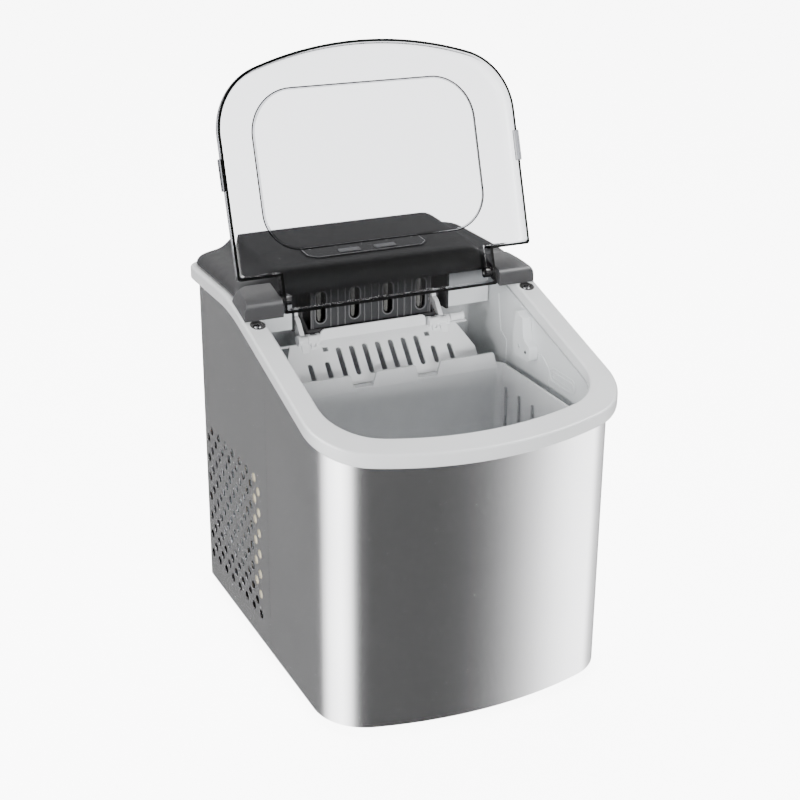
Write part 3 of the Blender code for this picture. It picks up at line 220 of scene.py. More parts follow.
foamCream = mouldedPlastic("foamCream", (0.62, 0.56, 0.40), (0.72, 0.66, 0.50), (0.85, 0.95), 0.8)
basePlastic = mouldedPlastic("basePlastic", (0.03, 0.03, 0.032), (0.045, 0.045, 0.048), (0.42, 0.55), 0.3)
boardGreen = mouldedPlastic("boardGreen", (0.02, 0.12, 0.05), (0.03, 0.17, 0.07), (0.3, 0.5), 0.2)
nickelPlate = plainMetal("nickelPlate", (0.30, 0.29, 0.27), (0.38, 0.37, 0.35), (0.18, 0.28))
copperPipe = plainMetal("copperPipe", (0.60, 0.30, 0.19), (0.74, 0.42, 0.30))
finAluminium = plainMetal("finAluminium", (0.62, 0.63, 0.65), (0.74, 0.75, 0.77), (0.30, 0.45))
screwBlack = plainMetal("screwBlack", (0.05, 0.05, 0.052), (0.09, 0.09, 0.095), (0.22, 0.34), 200.0)
blackSteel = mouldedPlastic("blackSteel", (0.012, 0.012, 0.013), (0.02, 0.02, 0.021), (0.30, 0.42), 0.15,
    0.2)
lidClear = smokedClear(smokedLook)
# near-black finish for the line round the lid window: painted shade of the window's step edge
windowEdgeShade = mouldedPlastic("windowEdgeShade", (0.008, 0.008, 0.009), (0.014, 0.014, 0.015), (0.45, 0.55), 0.02,
    shine=0.1)
print("finishes ready")

# mesh helpers


def rounded(corners, steps=8):
    # corners are (x, y, radius), in order round the outline
    points = []
    for i, (x, y, radius) in enumerate(corners):
        corner = Vector((x, y))
        if radius <= 0:
            points.append(corner)
            continue
        before = (Vector(corners[i - 1][:2]) - corner).normalized()
        after = (Vector(corners[(i + 1) % len(corners)][:2]) - corner).normalized()
        half = before.angle(after) / 2
        centre = corner + (before + after).normalized() * radius / math.sin(half)
        start = corner + before * radius / math.tan(half) - centre
        end = corner + after * radius / math.tan(half) - centre
        turn = math.atan2(start.x * end.y - start.y * end.x, start.dot(end))
        for k in range(steps + 1):
            points.append(centre + Matrix.Rotation(turn * k / steps, 2) @ start)
    return [(p.x, p.y) for p in points]


def cornersOf(x, y, width, height, radius):
    return [(x + a * width, y + b * height, radius) for a, b in ((1, 1), (-1, 1), (-1, -1), (1, -1))]


def circle(x, y, radius, count=32):
    angles = [2 * math.pi * k / count for k in range(count)]
    return [(x + radius * math.cos(a), y + radius * math.sin(a)) for a in angles]


def slot(x, y, width, height, steps=10):
    radius = min(width, height) / 2 - 1e-6
    across, up = width / 2, height / 2
    corners = [(x + across, y + up), (x - across, y + up), (x - across, y - up), (x + across, y - up)]
    return rounded([(*c, radius) for c in corners], steps)


def box(x0, x1, y0, y1):
    return [(x0, y0), (x1, y0), (x1, y1), (x0, y1)]


def plan(half, front, rear, corner, rearCorner, bow, arcSteps=16, steps=20, rearSteps=8):
    # bow front, two tangent corner arcs, square sides: counter-clockwise from the front centre
    centreX = half - corner
    centreY = front + bow - math.sqrt((bow - corner) ** 2 - centreX**2)
    lean = math.asin(centreX / (bow - corner))
    right = []
    for k in range(arcSteps + 1):
        angle = lean * k / arcSteps
        right.append((bow * math.sin(angle), front + bow - bow * math.cos(angle)))
    for k in range(1, steps + 1):
        angle = lean + (math.pi / 2 - lean) * k / steps
        right.append((centreX + corner * math.sin(angle), centreY - corner * math.cos(angle)))
    for k in range(rearSteps + 1):
        angle = math.pi / 2 * k / rearSteps
        across = half - rearCorner + rearCorner * math.cos(angle)
        right.append((across, rear - rearCorner + rearCorner * math.sin(angle)))
    return right + [(-x, y) for x, y in reversed(right[1:])]


# planes of a flat outline: its own x, y and thickness directions
flat = Matrix.Identity(4)
sideways = Matrix(((0, 0, 1, 0), (1, 0, 0, 0), (0, 1, 0, 0), (0, 0, 0, 1)))
upright = Matrix(((1, 0, 0, 0), (0, 0, -1, 0), (0, 1, 0, 0), (0, 0, 0, 1)))


def takeMesh(thing):
    # the evaluated mesh of a helper object, which is then removed
    bpy.context.scene.collection.objects.link(thing)
    bpy.context.view_layer.update()
    mesh = bpy.data.meshes.new_from_object(thing.evaluated_get(bpy.context.evaluated_depsgraph_get()))
    bpy.data.objects.remove(thing)
    return mesh


def welded(mesh, distance=1e-6):
    work = bmesh.new()
    work.from_mesh(mesh)
    bmesh.ops.remove_doubles(work, verts=work.verts, dist=distance)
    bmesh.ops.recalc_face_normals(work, faces=work.faces)
    work.to_mesh(mesh)
    work.free()
    return mesh


def slab(outlines, low, high, plane=flat):
    # later outlines are holes in the first
    curve = bpy.data.curves.new("outline", "CURVE")
    curve.dimensions = "2D"
    curve.fill_mode = "BOTH"
    curve.extrude = (high - low) / 2
    for outline in outlines:
        spline = curve.splines.new("POLY")
        spline.points.add(len(outline) - 1)
        for point, (x, y) in zip(spline.points, outline):
            point.co = (x, y, 0, 1)
        spline.use_cyclic_u = True
    mesh = takeMesh(bpy.data.objects.new("outline", curve))
    mesh.transform(plane @ Matrix.Translation((0, 0, (low + high) / 2)))
    return welded(mesh)


def block(x0, x1, y0, y1, z0, z1):
    return slab([box(x0, x1, y0, y1)], z0, z1)


def rod(centre, radius, length, axis="Z", sides=32, tip=None):
    work = bmesh.new()
    far = radius if tip is None else tip
    bmesh.ops.create_cone(work, cap_ends=True, segments=sides, radius1=radius, radius2=far, depth=length)
    turn = {"X": Matrix.Rotation(math.pi / 2, 4, "Y"), "Y": Matrix.Rotation(-math.pi / 2, 4, "X")}
    bmesh.ops.transform(work, matrix=turn.get(axis, Matrix.Identity(4)), verts=work.verts)
    bmesh.ops.translate(work, vec=centre, verts=work.verts)
    mesh = bpy.data.meshes.new("rod")
    work.to_mesh(mesh)
    work.free()
    return mesh


def turned(profile, sides=40):
    # (radius, height) points on the Z axis
    mesh = bpy.data.meshes.new("profile")
    mesh.from_pydata([(r, 0, z) for r, z in profile], [(i, i + 1) for i in range(len(profile) - 1)], [])
    thing = bpy.data.objects.new("profile", mesh)
    screw = thing.modifiers.new("turn", "SCREW")
    screw.steps = screw.render_steps = sides
    screw.use_merge_vertices = True
    screw.merge_threshold = 0.00002
    return welded(takeMesh(thing))


def span(side, near, far):
    return sorted((side * near, side * far))


def tube(points, radius, closed=False, bevel=5):
    curve = bpy.data.curves.new("tube", "CURVE")
    curve.dimensions = "3D"
    curve.bevel_depth = radius
    curve.bevel_resolution = bevel
    curve.use_fill_caps = True
    spline = curve.splines.new("POLY")
    spline.points.add(len(points) - 1)
    for point, place in zip(spline.points, points):
        point.co = (*place, 1)
    spline.use_cyclic_u = closed
    return welded(takeMesh(bpy.data.objects.new("tube", curve)))


def bent(corners, steps=8):
    points = []
    for i, (x, y, z, radius) in enumerate(corners):
        corner = Vector((x, y, z))
        if radius <= 0:
            points.append(corner)
            continue
        before = (Vector(corners[i - 1][:3]) - corner).normalized()
        after = (Vector(corners[i + 1][:3]) - corner).normalized()
        half = before.angle(after) / 2
        centre = corner + (before + after).normalized() * radius / math.sin(half)
        start = corner + before * radius / math.tan(half) - centre
        end = corner + after * radius / math.tan(half) - centre
        turn = Matrix.Rotation((math.pi - 2 * half) / steps, 3, start.cross(end))
        for _ in range(steps + 1):
            points.append(centre + start)
            start = turn @ start
    return points


def gathered(meshes):
    work = bmesh.new()
    for mesh in meshes:
        work.from_mesh(mesh)
    made = bpy.data.meshes.new("gathered")
    work.to_mesh(made)
    work.free()
    return made


def combined(mesh, tool, operation):
    base, other = bpy.data.objects.new("base", mesh), bpy.data.objects.new("tool", tool)
    bpy.context.scene.collection.objects.link(other)
    step = base.modifiers.new("step", "BOOLEAN")
    step.operation = operation
    step.solver = "EXACT"
    step.object = other
    made = takeMesh(base)
    bpy.data.objects.remove(other)
    return made


def cut(mesh, tool):
    return combined(mesh, tool, "DIFFERENCE")


def joined(mesh, tool):
    return combined(mesh, tool, "UNION")


def kept(mesh, tool):
    return combined(mesh, tool, "INTERSECT")


def softened(mesh, width, segments=3, angle=40):
    thing = bpy.data.objects.new("soft", mesh)
    weld = thing.modifiers.new("weld", "WELD")
    weld.merge_threshold = 1e-5
    step = thing.modifiers.new("edges", "BEVEL")
    step.width = width
    step.segments = segments
    step.limit_method = "ANGLE"
    step.angle_limit = math.radians(angle)
    step.use_clamp_overlap = True
    return takeMesh(thing)


def moved(mesh, matrix):
    mesh.transform(matrix)
    return mesh


def lofted(rings, closed=False, capped=True):
    # rings of equally many points, joined in order
    work = bmesh.new()
    rows = [[work.verts.new(point) for point in ring] for ring in rings]
    pairs = list(zip(rows, rows[1:])) + ([(rows[-1], rows[0])] if closed else [])
    count = len(rows[0])
    for a, b in pairs:
        for k in range(count):
            n = (k + 1) % count
            work.faces.new((a[k], a[n], b[n], b[k]))
    if capped and not closed:
        work.faces.new(rows[0])
        work.faces.new(rows[-1])
    bmesh.ops.recalc_face_normals(work, faces=work.faces)
    mesh = bpy.data.meshes.new("loft")
    work.to_mesh(mesh)
    work.free()
    return mesh


def piece(name, mesh, finish, body, replaced=(), smooth=35):
    mesh.name = name
    mesh.materials.clear()
    mesh.materials.append(finish)
    mesh.polygons.foreach_set("material_index", [0] * len(mesh.polygons))
    mesh.shade_smooth()
    mesh.set_sharp_from_angle(angle=math.radians(smooth))
    made = bpy.data.objects.new(name, mesh)
    bpy.context.scene.collection.objects.link(made)
    even = made.modifiers.new("evenNormals", "WEIGHTED_NORMAL")  # broad flat faces keep their own normal
    even.keep_sharp = True
    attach(made, body)
    if replaced:
        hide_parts(*replaced)
    return made


# case

case = {
    "half": 0.145,
    "front": -0.1795,
    "rear": 0.1795,
    "frontTop": 0.262,
    "rearTop": 0.335,
    "slope": math.radians(17.16),
    "bend": 0.184,
    "corner": 0.0545,
    "rearCorner": 0.020,
    "bow": 0.375,
    "band": 0.020,
    "openFront": -0.158,
    "openRear": 0.150,
    "openCorner": 0.049,
    "overhang": 0.008,
    "sheet": 0.001,
    "bottom": 0.0083,
    "seam": -0.006,
    "lip": 0.013,
    "skin": 0.003,
    "innerSkin": 0.0025,
    "gap": 0.0003,
}
panelHalf = case["half"] - case["overhang"]
panelRear = case["rear"] - case["overhang"]
openHalf = case["half"] - case["band"]


def framePlan(inset):
    corner = max(case["corner"] - inset * 0.6, 0.01)
    rearCorner = max(case["rearCorner"] - inset, 0.004)
    return plan(case["half"] - inset, case["front"] + inset, case["rear"] - inset, corner, rearCorner,
        case["bow"] - inset)


def openingPlan(grow, rear=None, rearCorner=0.008):
    bow = case["bow"] + case["front"] - case["openFront"] + grow
    rear = case["openRear"] if rear is None else rear
    return plan(openHalf + grow, case["openFront"] - grow, rear, case["openCorner"] + grow, rearCorner, bow)


bendMeet = case["front"] + (case["rearTop"] - case["frontTop"]) / math.tan(case["slope"])
bendReach = case["bend"] * math.tan(case["slope"] / 2)


def frameTop(y):
    if y <= bendMeet - bendReach:
        return case["frontTop"] + (y - case["front"]) * math.tan(case["slope"])
    if y < bendMeet + bendReach:
        return case["rearTop"] - case["bend"] + math.sqrt(case["bend"] ** 2 - (bendMeet + bendReach - y) ** 2)
    return case["rearTop"]


def topLine(drop, start, end, steps=16):
    bend = [bendMeet - bendReach + 2 * bendReach * k / steps for k in range(steps + 1)]
    stations = [start] + [y for y in bend if start < y < end] + [end]
    return [(y, frameTop(y) - drop) for y in stations]


def underFrame(drop, start, end, floor):
    return [(end, floor), *reversed(topLine(drop, start, end)), (start, floor)]


def makeFrontPanel():
    seam, sheet = case["seam"], case["sheet"]
    runs = []
    for inset in (case["overhang"], case["overhang"] + sheet):
        points = [p for p in framePlan(inset) if p[1] < seam]
        middle = len(points) // 2
        edge = panelHalf - (inset - case["overhang"])
        runs.append([(-edge, seam), *points[middle + 1 :], *points[: middle + 1], (edge, seam)])
    mesh = slab([runs[0] + runs[1][::-1]], case["bottom"], case["rearTop"])
    profile = underFrame(case["skin"] + case["gap"], case["front"] - 0.01, seam + 0.01, 0.0)
    mesh = kept(mesh, slab([profile], -case["half"], case["half"], sideways))
    piece("front_wrap", mesh, steelFront, "case", ["front_panel"], 30)


ventLook = {"radius": 0.0043, "pitchY": 0.0097, "pitchZ": 0.021, "columns": 15, "rows": 7,
    "rear": 0.1538, "low": 0.036}


def makeSidePanels(look):
    start, end = case["seam"] + 0.0006, panelRear - 0.011
    profile = underFrame(case["skin"] + case["gap"], start, end, case["bottom"])
    holes = []
    for column in range(look["columns"]):
        lift = look["pitchZ"] / 2 if column % 2 else 0
        for row in range(look["rows"]):
            height = look["low"] + lift + row * look["pitchZ"]
            holes.append(circle(look["rear"] - column * look["pitchY"], height, look["radius"], 24))
    left = slab([profile, *holes], -panelHalf, -panelHalf + case["sheet"], sideways)
    piece("left_side", softened(left, 0.00022, 2), steelFront, "case", ["left_side_panel"],
        30)
    louvres = [slot(0.086, 0.070 + 0.016 * row, 0.110, 0.005) for row in range(7)]
    plug = circle(0.036, 0.036, 0.0085)
    right = slab([profile, plug, *louvres], panelHalf - case["sheet"], panelHalf, sideways)
    piece("right_side", softened(right, 0.00022, 2), steelFront, "case", ["right_side_panel"],
        30)


def makeRearPanel():
    start, corner, sheet = panelRear - 0.011 + 0.0006, 0.010, case["sheet"]
    outer = rounded([(panelHalf, start, 0), (panelHalf, panelRear, corner),
        (-panelHalf, panelRear, corner), (-panelHalf, start, 0)])
    edge, back, bend = panelHalf - sheet, panelRear - sheet, corner - sheet
    inner = rounded([(edge, start, 0), (edge, back, bend), (-edge, back, bend), (-edge, start, 0)])
    top = case["rearTop"] - case["skin"] - case["gap"]
    mesh = slab([outer + inner[::-1]], case["bottom"], top)
    holes = [slot(-0.040, 0.090 + 0.018 * row, 0.130, 0.006) for row in range(8)] + [circle(0.100, 0.040,
        0.0075)]
    tools = [slab([hole], -panelRear - 0.01, -panelRear + 0.01, upright) for hole in holes]
    mesh = cut(mesh, gathered(tools))
    piece("rear_wrap", mesh, steelFront, "case", ["rear_panel"], 30)


screwPlace = {"x": 0.1333, "y": 0.0150, "well": 0.0072, "cup": 0.00695, "cupHole": 0.0040}


def screwTilt(side):
    place = (side * screwPlace["x"], screwPlace["y"], frameTop(screwPlace["y"]))
    return Matrix.Translation(place) @ Matrix.Rotation(case["slope"], 4, "X")


def makeTopFrame():
    mesh = slab([framePlan(0), openingPlan(0)], 0.200, 0.400)
    profile = topLine(case["lip"], case["front"] - 0.01, case["rear"] + 0.01)
    profile += list(reversed(topLine(0, case["front"] - 0.01, case["rear"] + 0.01)))
    mesh = kept(mesh, slab([profile], -0.2, 0.2, sideways))
    mesh = softened(mesh, 0.0026, 5, 60)
    grow = case["innerSkin"]
    channel = slab([framePlan(case["skin"]), openingPlan(grow, case["openRear"] + grow)], 0.180, 0.420)
    limits = underFrame(case["skin"], case["front"] - 0.01, case["rear"] + 0.01, 0.150)
    mesh = cut(mesh, kept(channel, slab([limits], -0.2, 0.2, sideways)))
    for side in (-1, 1):
        well = rod(Vector((0, 0, 0.0007)), screwPlace["well"], 0.0066, "Z", 40)
        mesh = cut(mesh, moved(well, screwTilt(side)))
    piece("top_bezel", mesh, whiteSatin, "case", ["top_frame"], 30)


def makeScrews():
    head = [(0.0, 0.0019), (0.0012, 0.00185), (0.0024, 0.0016), (0.0033, 0.0011), (0.0037, 0.0005),
        (0.0038, 0.0), (0.0, 0.0)]
    for name, side in (("left", -1), ("right", 1)):
        mesh = moved(turned(head), Matrix.Translation((0, 0, -0.0023)))
        cross = gathered([block(-0.0022, 0.0022, -0.0004, 0.0004, -0.0012, 0.01)])
        mesh = cut(mesh, cross)
        mesh = cut(mesh, block(-0.0004, 0.0004, -0.0022, 0.0022, -0.0012, 0.01))
        mesh = moved(softened(mesh, 0.00012, 2), screwTilt(side))
        piece(f"cover_screw_{name}", mesh, screwBlack, "case", [f"hinge_screw_{name}"])
        ring = slab([circle(0, 0, screwPlace["cup"], 48), circle(0, 0, screwPlace["cupHole"], 48)],
            -0.0025, -0.0021)
        wall = slab([circle(0, 0, screwPlace["cup"], 48), circle(0, 0, 0.0064, 48)], -0.0025, -0.0003)
        cup = moved(joined(ring, wall), screwTilt(side))
        piece(f"screw_cup_{name}", cup, rubberBlack, "case")


makeFrontPanel()
makeSidePanels(ventLook)
makeRearPanel()
makeTopFrame()
makeScrews()
print("case made")

# rear cover and controls

cover = {
    "start": 0.054,
    "rear": 0.1735,
    "inset": 0.0055,
    "wall": 0.0022,
    "shoulder": 0.0125,
    "seam": 0.0020,
    "plateauHalf": 0.099,
    "plateauTop": 0.361,
    "fall": 0.072,
    "drop": 0.004,
    "dropHalf": 0.118,
}
controls = {
    "y": 0.0875,
    "size": (0.122, 0.029),
    "thick": 0.0008,
    "button": (0.021, 0.008),
    "buttonX": 0.018,
    "buttonY": -0.0055,
    "lightX": 0.026,
    "lightY": 0.0090,
    "lightRadius": 0.0016,
    "line": 0.0007,
}


def plateauHeight(y):
    return cover["plateauTop"] - cover["fall"] * (0.150 - y)


def coverRows(wall):
    front = [(0.0, 0.0), (0.0004, 0.22), (0.0014, 0.50), (0.0032, 0.76), (0.0060, 0.90), (0.0100, 0.97)]
    rear = [(0.0125, 0.98), (0.0072, 0.91), (0.0036, 0.78), (0.0014, 0.58), (0.0003, 0.30), (0.0, 0.0)]
    stations = [(cover["start"] + wall + y, rise) for y, rise in front]
    stations += [(y, 1.0) for y in (0.0700, 0.0850, 0.1050, 0.1200, 0.1350, 0.1500)]
    stations += [(cover["rear"] - wall - y, rise) for y, rise in rear]
    cornerStart = case["rear"] - case["rearCorner"]
    radius = case["rearCorner"] - cover["inset"] - wall
    rows = []
    for y, rise in stations:
        side = case["half"] - cover["inset"] - wall
        if y > cornerStart:
            side += math.sqrt(radius**2 - (y - cornerStart) ** 2) - radius
        low = frameTop(y) + cover["seam"]
        high = plateauHeight(min(y, 0.154)) - low
        shoulder = cover["shoulder"]
        rising = high - shoulder
        half = [(side, 0.0), (side - 0.0002, 0.0018), (side - 0.0014, 0.0042), (side - 0.0040, 0.0068)]
        half += [(side - 0.0085, 0.0090), (side - 0.0160, shoulder * 0.85)]
        slope = [(0.0168, shoulder * 0.94), (0.0140, shoulder + 0.04 * rising),
            (0.0105, shoulder + 0.20 * rising)]
        slope += [(0.0070, shoulder + 0.50 * rising), (0.0040, shoulder + 0.78 * rising),
            (0.0010, shoulder + 0.95 * rising)]
        slope += [(-0.0030, high), (-0.0120, high)]
        for out, height in slope:
            half.append((min(cover["plateauHalf"] + out - wall, half[-1][0] - 0.0010), height))
        half += [(0.0700 - wall, high), (0.0500 - wall, high), (0.0250 - wall, high), (0.0100 - wall, high)]
        section = []
        for x, height in half:
            hangs = rise == 0 and y < case["openRear"] and x < cover["dropHalf"]
            section.append((x, y, low + max(height * rise - wall, 0.0) - (cover["drop"] if hangs else 0.0)))
        rows.append([(-x, y, z) for x, y, z in section] + section[::-1])
    return rows


def controlPlane():
    tilt = Matrix.Rotation(math.atan(cover["fall"]), 4, "X")
    return Matrix.Translation((0, controls["y"], plateauHeight(controls["y"]))) @ tilt


def buttonBlock(x, grow, low, high):
    width, height = controls["button"][0] / 2 + grow, controls["button"][1] / 2 + grow
    y = controls["buttonY"]
    corners = [(x + a * width, y + b * height, 0.0012 + grow) for a,
        b in ((1, 1), (-1, 1), (-1, -1), (1, -1))]
    return slab([rounded(corners, 6)], low, high)


def makeCover():
    skins = [coverRows(wall) for wall in (0.0, cover["wall"])]
    work = bmesh.new()
    outer, inner = ([[work.verts.new(point) for point in row] for row in rows] for rows in skins)
    for skin in (outer, inner):
        for a, b in zip(skin, skin[1:]):
            for k in range(len(a) - 1):
                work.faces.new((a[k], a[k + 1], b[k + 1], b[k]))
    rims = [(outer[0], inner[0]), (outer[-1], inner[-1])]
    rims += [([row[k] for row in outer], [row[k] for row in inner]) for k in (0, -1)]
    for a, b in rims:
        for k in range(len(a) - 1):
            work.faces.new((a[k], a[k + 1], b[k + 1], b[k]))
    bmesh.ops.recalc_face_normals(work, faces=work.faces)
    hard = work.edges.layers.float.new("crease_edge")
    for a, b in rims:
        for row in (a, b):
            for p, q in zip(row, row[1:]):
                work.edges.get((p, q))[hard] = 0.85
    mesh = bpy.data.meshes.new("cover")
    work.to_mesh(mesh)
    work.free()
    thing = bpy.data.objects.new("cover", mesh)
    smooth = thing.modifiers.new("smooth", "SUBSURF")
    smooth.levels = smooth.render_levels = 1
    mesh = takeMesh(thing)
    tools = [buttonBlock(x, 0.0007, -0.02, 0.02) for x in (-controls["buttonX"], controls["buttonX"])]
    for k in range(5):
        place = Vector(((k - 2) * controls["lightX"], controls["lightY"], 0))
        tools.append(rod(place, controls["lightRadius"] + 0.0004, 0.04))
    mesh = cut(mesh, moved(gathered(tools), controlPlane()))
    piece("rear_hood", mesh, charcoal, "case", ["rear_cover"], 50)


def overlayOutline(inset):
    w, h = controls["size"][0] / 2 - inset, controls["size"][1] / 2 - inset
    c = 0.008 - inset * 0.5
    return rounded([(w, -h + c, 0.002), (w, h, 0.0015), (-w, h, 0.0015), (-w, -h + c, 0.002),
        (-w + c, -h, 0.002), (w - c, -h, 0.002)], 5)


def makeControls():
    plane = controlPlane()
    gap, thick = case["gap"], controls["thick"]
    holes = []
    for x in (-controls["buttonX"], controls["buttonX"]):
        width, height = controls["button"][0] / 2 + 0.0004, controls["button"][1] / 2 + 0.0004
        y = controls["buttonY"]
        holes.append(rounded(cornersOf(x, y, width, height, 0.0016), 6))
    for k in range(5):
        holes.append(circle((k - 2) * controls["lightX"], controls["lightY"],
            controls["lightRadius"] + 0.0002))
    film = softened(slab([overlayOutline(0), *holes], gap, gap + thick - 0.00005), 0.00015, 2)
    piece("control_film", moved(film, plane), overlayFilm, "case", ["control_panel"])
    line = controls["line"]
    border = slab([overlayOutline(0.0012), overlayOutline(0.0012 + line)], gap + thick - 0.0002,
        gap + thick)
    piece("control_border", moved(border, plane), printGrey, "case")
    for name, x in (("power", -1), ("select", 1)):
        x *= controls["buttonX"]
        cap = softened(buttonBlock(x, 0, -cover["wall"] - 0.0022, thick + 0.0010), 0.0005, 3, 60)
        low = -cover["wall"] - 0.0022
        flange = slab([box(x - 0.0125, x + 0.0125, controls["buttonY"] - 0.006,
            controls["buttonY"] + 0.006)], low - 0.0012, low + 0.0004)
        cap = moved(joined(cap, flange), plane)
        piece(f"{name}_key", cap, buttonGrey, f"{name}_button", [f"{name}_button"])
    bar = slab([box(-0.056, 0.056, controls["lightY"] - 0.003, controls["lightY"] + 0.003)],
        -cover["wall"] - 0.0035, -cover["wall"] - 0.0005)
    pipes = []
    for k in range(5):
        x, r = (k - 2) * controls["lightX"], controls["lightRadius"]
        top = thick + gap
        dome = [(0.0, top), (r * 0.5, top - 0.0001), (r * 0.85, top - 0.0003), (r, top - 0.0007),
            (r, -cover["wall"] - 0.0015), (0.0, -cover["wall"] - 0.0015)]
        pipes.append(moved(turned(dome, 24), Matrix.Translation((x, controls["lightY"], 0))))
    mesh = moved(joined(bar, gathered(pipes)), plane)
    piece("indicator_pipes", mesh, lensClear, "case", ["light_guide"])


makeCover()
makeControls()
print("cover and controls made")

# lid: its own frame has the hinge at the origin and Y running back along the closed lid

lid = {
    "open": math.radians(125),
    "half": 0.1443,
    "length": 0.1978,
    "corner": 0.060,
    "bow": 0.330,
    "depth": 0.014,
    "wall": 0.0024,
    "rim": 0.0005,
    "rearY": 0.014,
    "axisBack": 0.0209,
    "axisHeight": 0.0078,
    "tailHalf": 0.105,
    "tailBack": 0.0123,
    "fillet": 0.0095,
    "rearFillet": 0.0030,
    "pin": 0.0023,
    "pinClear": 0.0003,
    "windowHalf": 0.1087,
    "windowLow": 0.0212,
    "windowHigh": 0.162,
    "windowRise": 0.0015,
    "shadeLine": 0.0006,
}
slopeSin, slopeCos = math.sin(case["slope"]), math.cos(case["slope"])
hinge = Vector((
    0.0,
    lid["rearY"] + lid["axisBack"] * slopeCos - lid["axisHeight"] * slopeSin,
    frameTop(lid["rearY"]) + lid["axisBack"] * slopeSin + lid["axisHeight"] * slopeCos,
))
lidPlace = Matrix.Translation(hinge) @ Matrix.Rotation(case["slope"] - lid["open"], 4, "X")


def lidOutline(inset, rearInset):
    half, front = lid["half"] - inset, -lid["axisBack"] - lid["length"] + inset
    body = plan(half, front, 0.05, lid["corner"] - inset, 0.002, lid["bow"] - inset, 20, 26)
    back = -lid["axisBack"] - rearInset
    run = [p for p in body if p[1] < back - 0.005]
    right = [p for p in run if p[0] >= 0]
    left = [p for p in run if p[0] < 0]
    tail, end = lid["tailHalf"] - rearInset, lid["tailBack"] - rearInset
    corners = rounded(
        [
            (half, back - 0.012, 0),
            (half, back, 0.003),
            (tail, back, 0),
            (tail, end, 0.0015),
            (-tail, end, 0.0015),
            (-tail, back, 0),
            (-half, back, 0.003),
            (-half, back - 0.012, 0),
        ],
        5,
    )
    return right + corners + left


def lidShell(low, high, wall):
    # straight skirt, then a fillet into the flat top
    rings = []
    fillet, rear = lid["fillet"] - wall, lid["rearFillet"] - wall * 0.6
    rings.append([(x, y, low) for x, y in lidOutline(wall, wall)])
    for k in range(9):
        angle = math.pi / 2 * k / 8
        inset = wall + fillet * (1 - math.cos(angle))
        rearInset = wall + rear * (1 - math.cos(angle))
        z = high - fillet + fillet * math.sin(angle)
        rings.append([(x, y, z) for x, y in lidOutline(inset, rearInset)])
    return lofted(rings)


def windowOutline(inset):
    half = lid["windowHalf"] - inset
    first = -lid["axisBack"] - lid["windowLow"] - inset
    last = -lid["axisBack"] - lid["windowHigh"] + inset
    front, rear = 0.040 - inset, 0.034 - inset
    return rounded([(half, first, rear), (-half, first, rear), (-half, last, front),
        (half, last, front)], 16)


def makeLid():
    low = -lid["axisHeight"] + lid["rim"]
    high = low + lid["depth"]
    mesh = lidShell(low, high, 0.0)
    mesh = cut(mesh, lidShell(low - 0.01, high - lid["wall"], lid["wall"]))
    rise = lid["windowRise"]
    levels = [(0.0, high - 0.0010), (0.0, high + rise - 0.0005), (0.00015, high + rise - 0.00015),
        (0.0005, high + rise)]
    pane = lofted([[(x, y, z) for x, y in windowOutline(inset)] for inset, z in levels])
    mesh = joined(mesh, pane)
    pocket = [(x, y) for x, y in windowOutline(lid["wall"] * 0.6)]
    under = high - lid["wall"]
    mesh = cut(mesh, lofted([[(x, y, z) for x, y in pocket] for z in (under - 0.004, under + rise)]))
    bosses, bores, tabs = [], [], []
    for side in (-1, 1):
        bosses.append(rod(Vector((side * (lid["tailHalf"] - 0.0045), 0, 0)), 0.0052, 0.0078, "X", 40))
        bores.append(rod(Vector((side * lid["tailHalf"], 0, 0)), lid["pin"] + lid["pinClear"], 0.030,
            "X", 32))
        x0, x1 = span(side, lid["half"] - 0.001, lid["half"] + 0.002)
        tabs.append(softened(block(x0, x1, -0.1269, -0.0989, low + 0.00002, low + 0.006), 0.0008, 3))
    mesh = joined(mesh, gathered(bosses))
    mesh = cut(mesh, gathered(bores))
    mesh = joined(mesh, gathered(tabs))
    piece("lid_shell", moved(mesh, lidPlace), lidClear, "lid", ["lid"], 32)
    level = high + rise * 0.35
    # a thin near-black tube along the window's step edge: painted shade standing in for the dark line at that
    # edge, not a real bead
    shadeLine = tube([(x, y, level) for x, y in windowOutline(-lid["shadeLine"] * 0.6)], lid["shadeLine"], True, 3)
    piece("window_edge_shade", moved(shadeLine, lidPlace), windowEdgeShade, "lid", (), 60)


hingeBlock = {"inner": 0.1072, "outer": 0.1433, "front": 0.020, "rear": 0.0534, "top": 0.34097,
    "rise": 0.0050, "depth": 0.020, "round": 0.0165}


def makeHingeBlocks():
    look = hingeBlock
    for name, side in (("left", -1), ("right", 1)):
        seat = topLine(-case["gap"], look["front"], look["rear"])
        profile = rounded(
            [
                *[(y, z, 0) for y, z in reversed(seat)],
                (look["front"], look["top"] - 0.0030, 0.005),
                (look["rear"], look["top"] + look["rise"], 0.001),
            ],
            8,
        )
        x0, x1 = span(side, look["inner"], look["outer"])
        mesh = slab([profile], x0, x1, sideways)
        top, base, outer = look["top"] + look["rise"], case["rearTop"] - 0.04, look["outer"]
        crown = [(side * look["inner"], base), (side * look["inner"], top + 0.01),
            (side * (outer - 0.018), top + 0.0012)]
        for k in range(1, 11):
            angle = math.pi / 2 * k / 10
            across = outer - look["round"] + look["round"] * math.sin(angle)
            crown.append((side * across, top - 0.0170 + 0.0170 * math.cos(angle) * 0.99))
        crown.append((side * outer, base))
        mesh = kept(mesh, slab([crown], -0.1, 0.1, upright))
        mesh = softened(mesh, 0.0007, 3, 50)
        bore = rod(Vector((side * (look["inner"] + look["depth"] / 2 - 0.001), hinge.y, hinge.z)),
            lid["pin"] + lid["pinClear"], look["depth"] + 0.002, "X")
        mesh = cut(mesh, bore)
        piece(f"hinge_housing_{name}", mesh, darkGrey, "case", [f"hinge_block_{name}"], 40)


makeLid()
makeHingeBlocks()
print("lid and hinge made")

# tank and basket

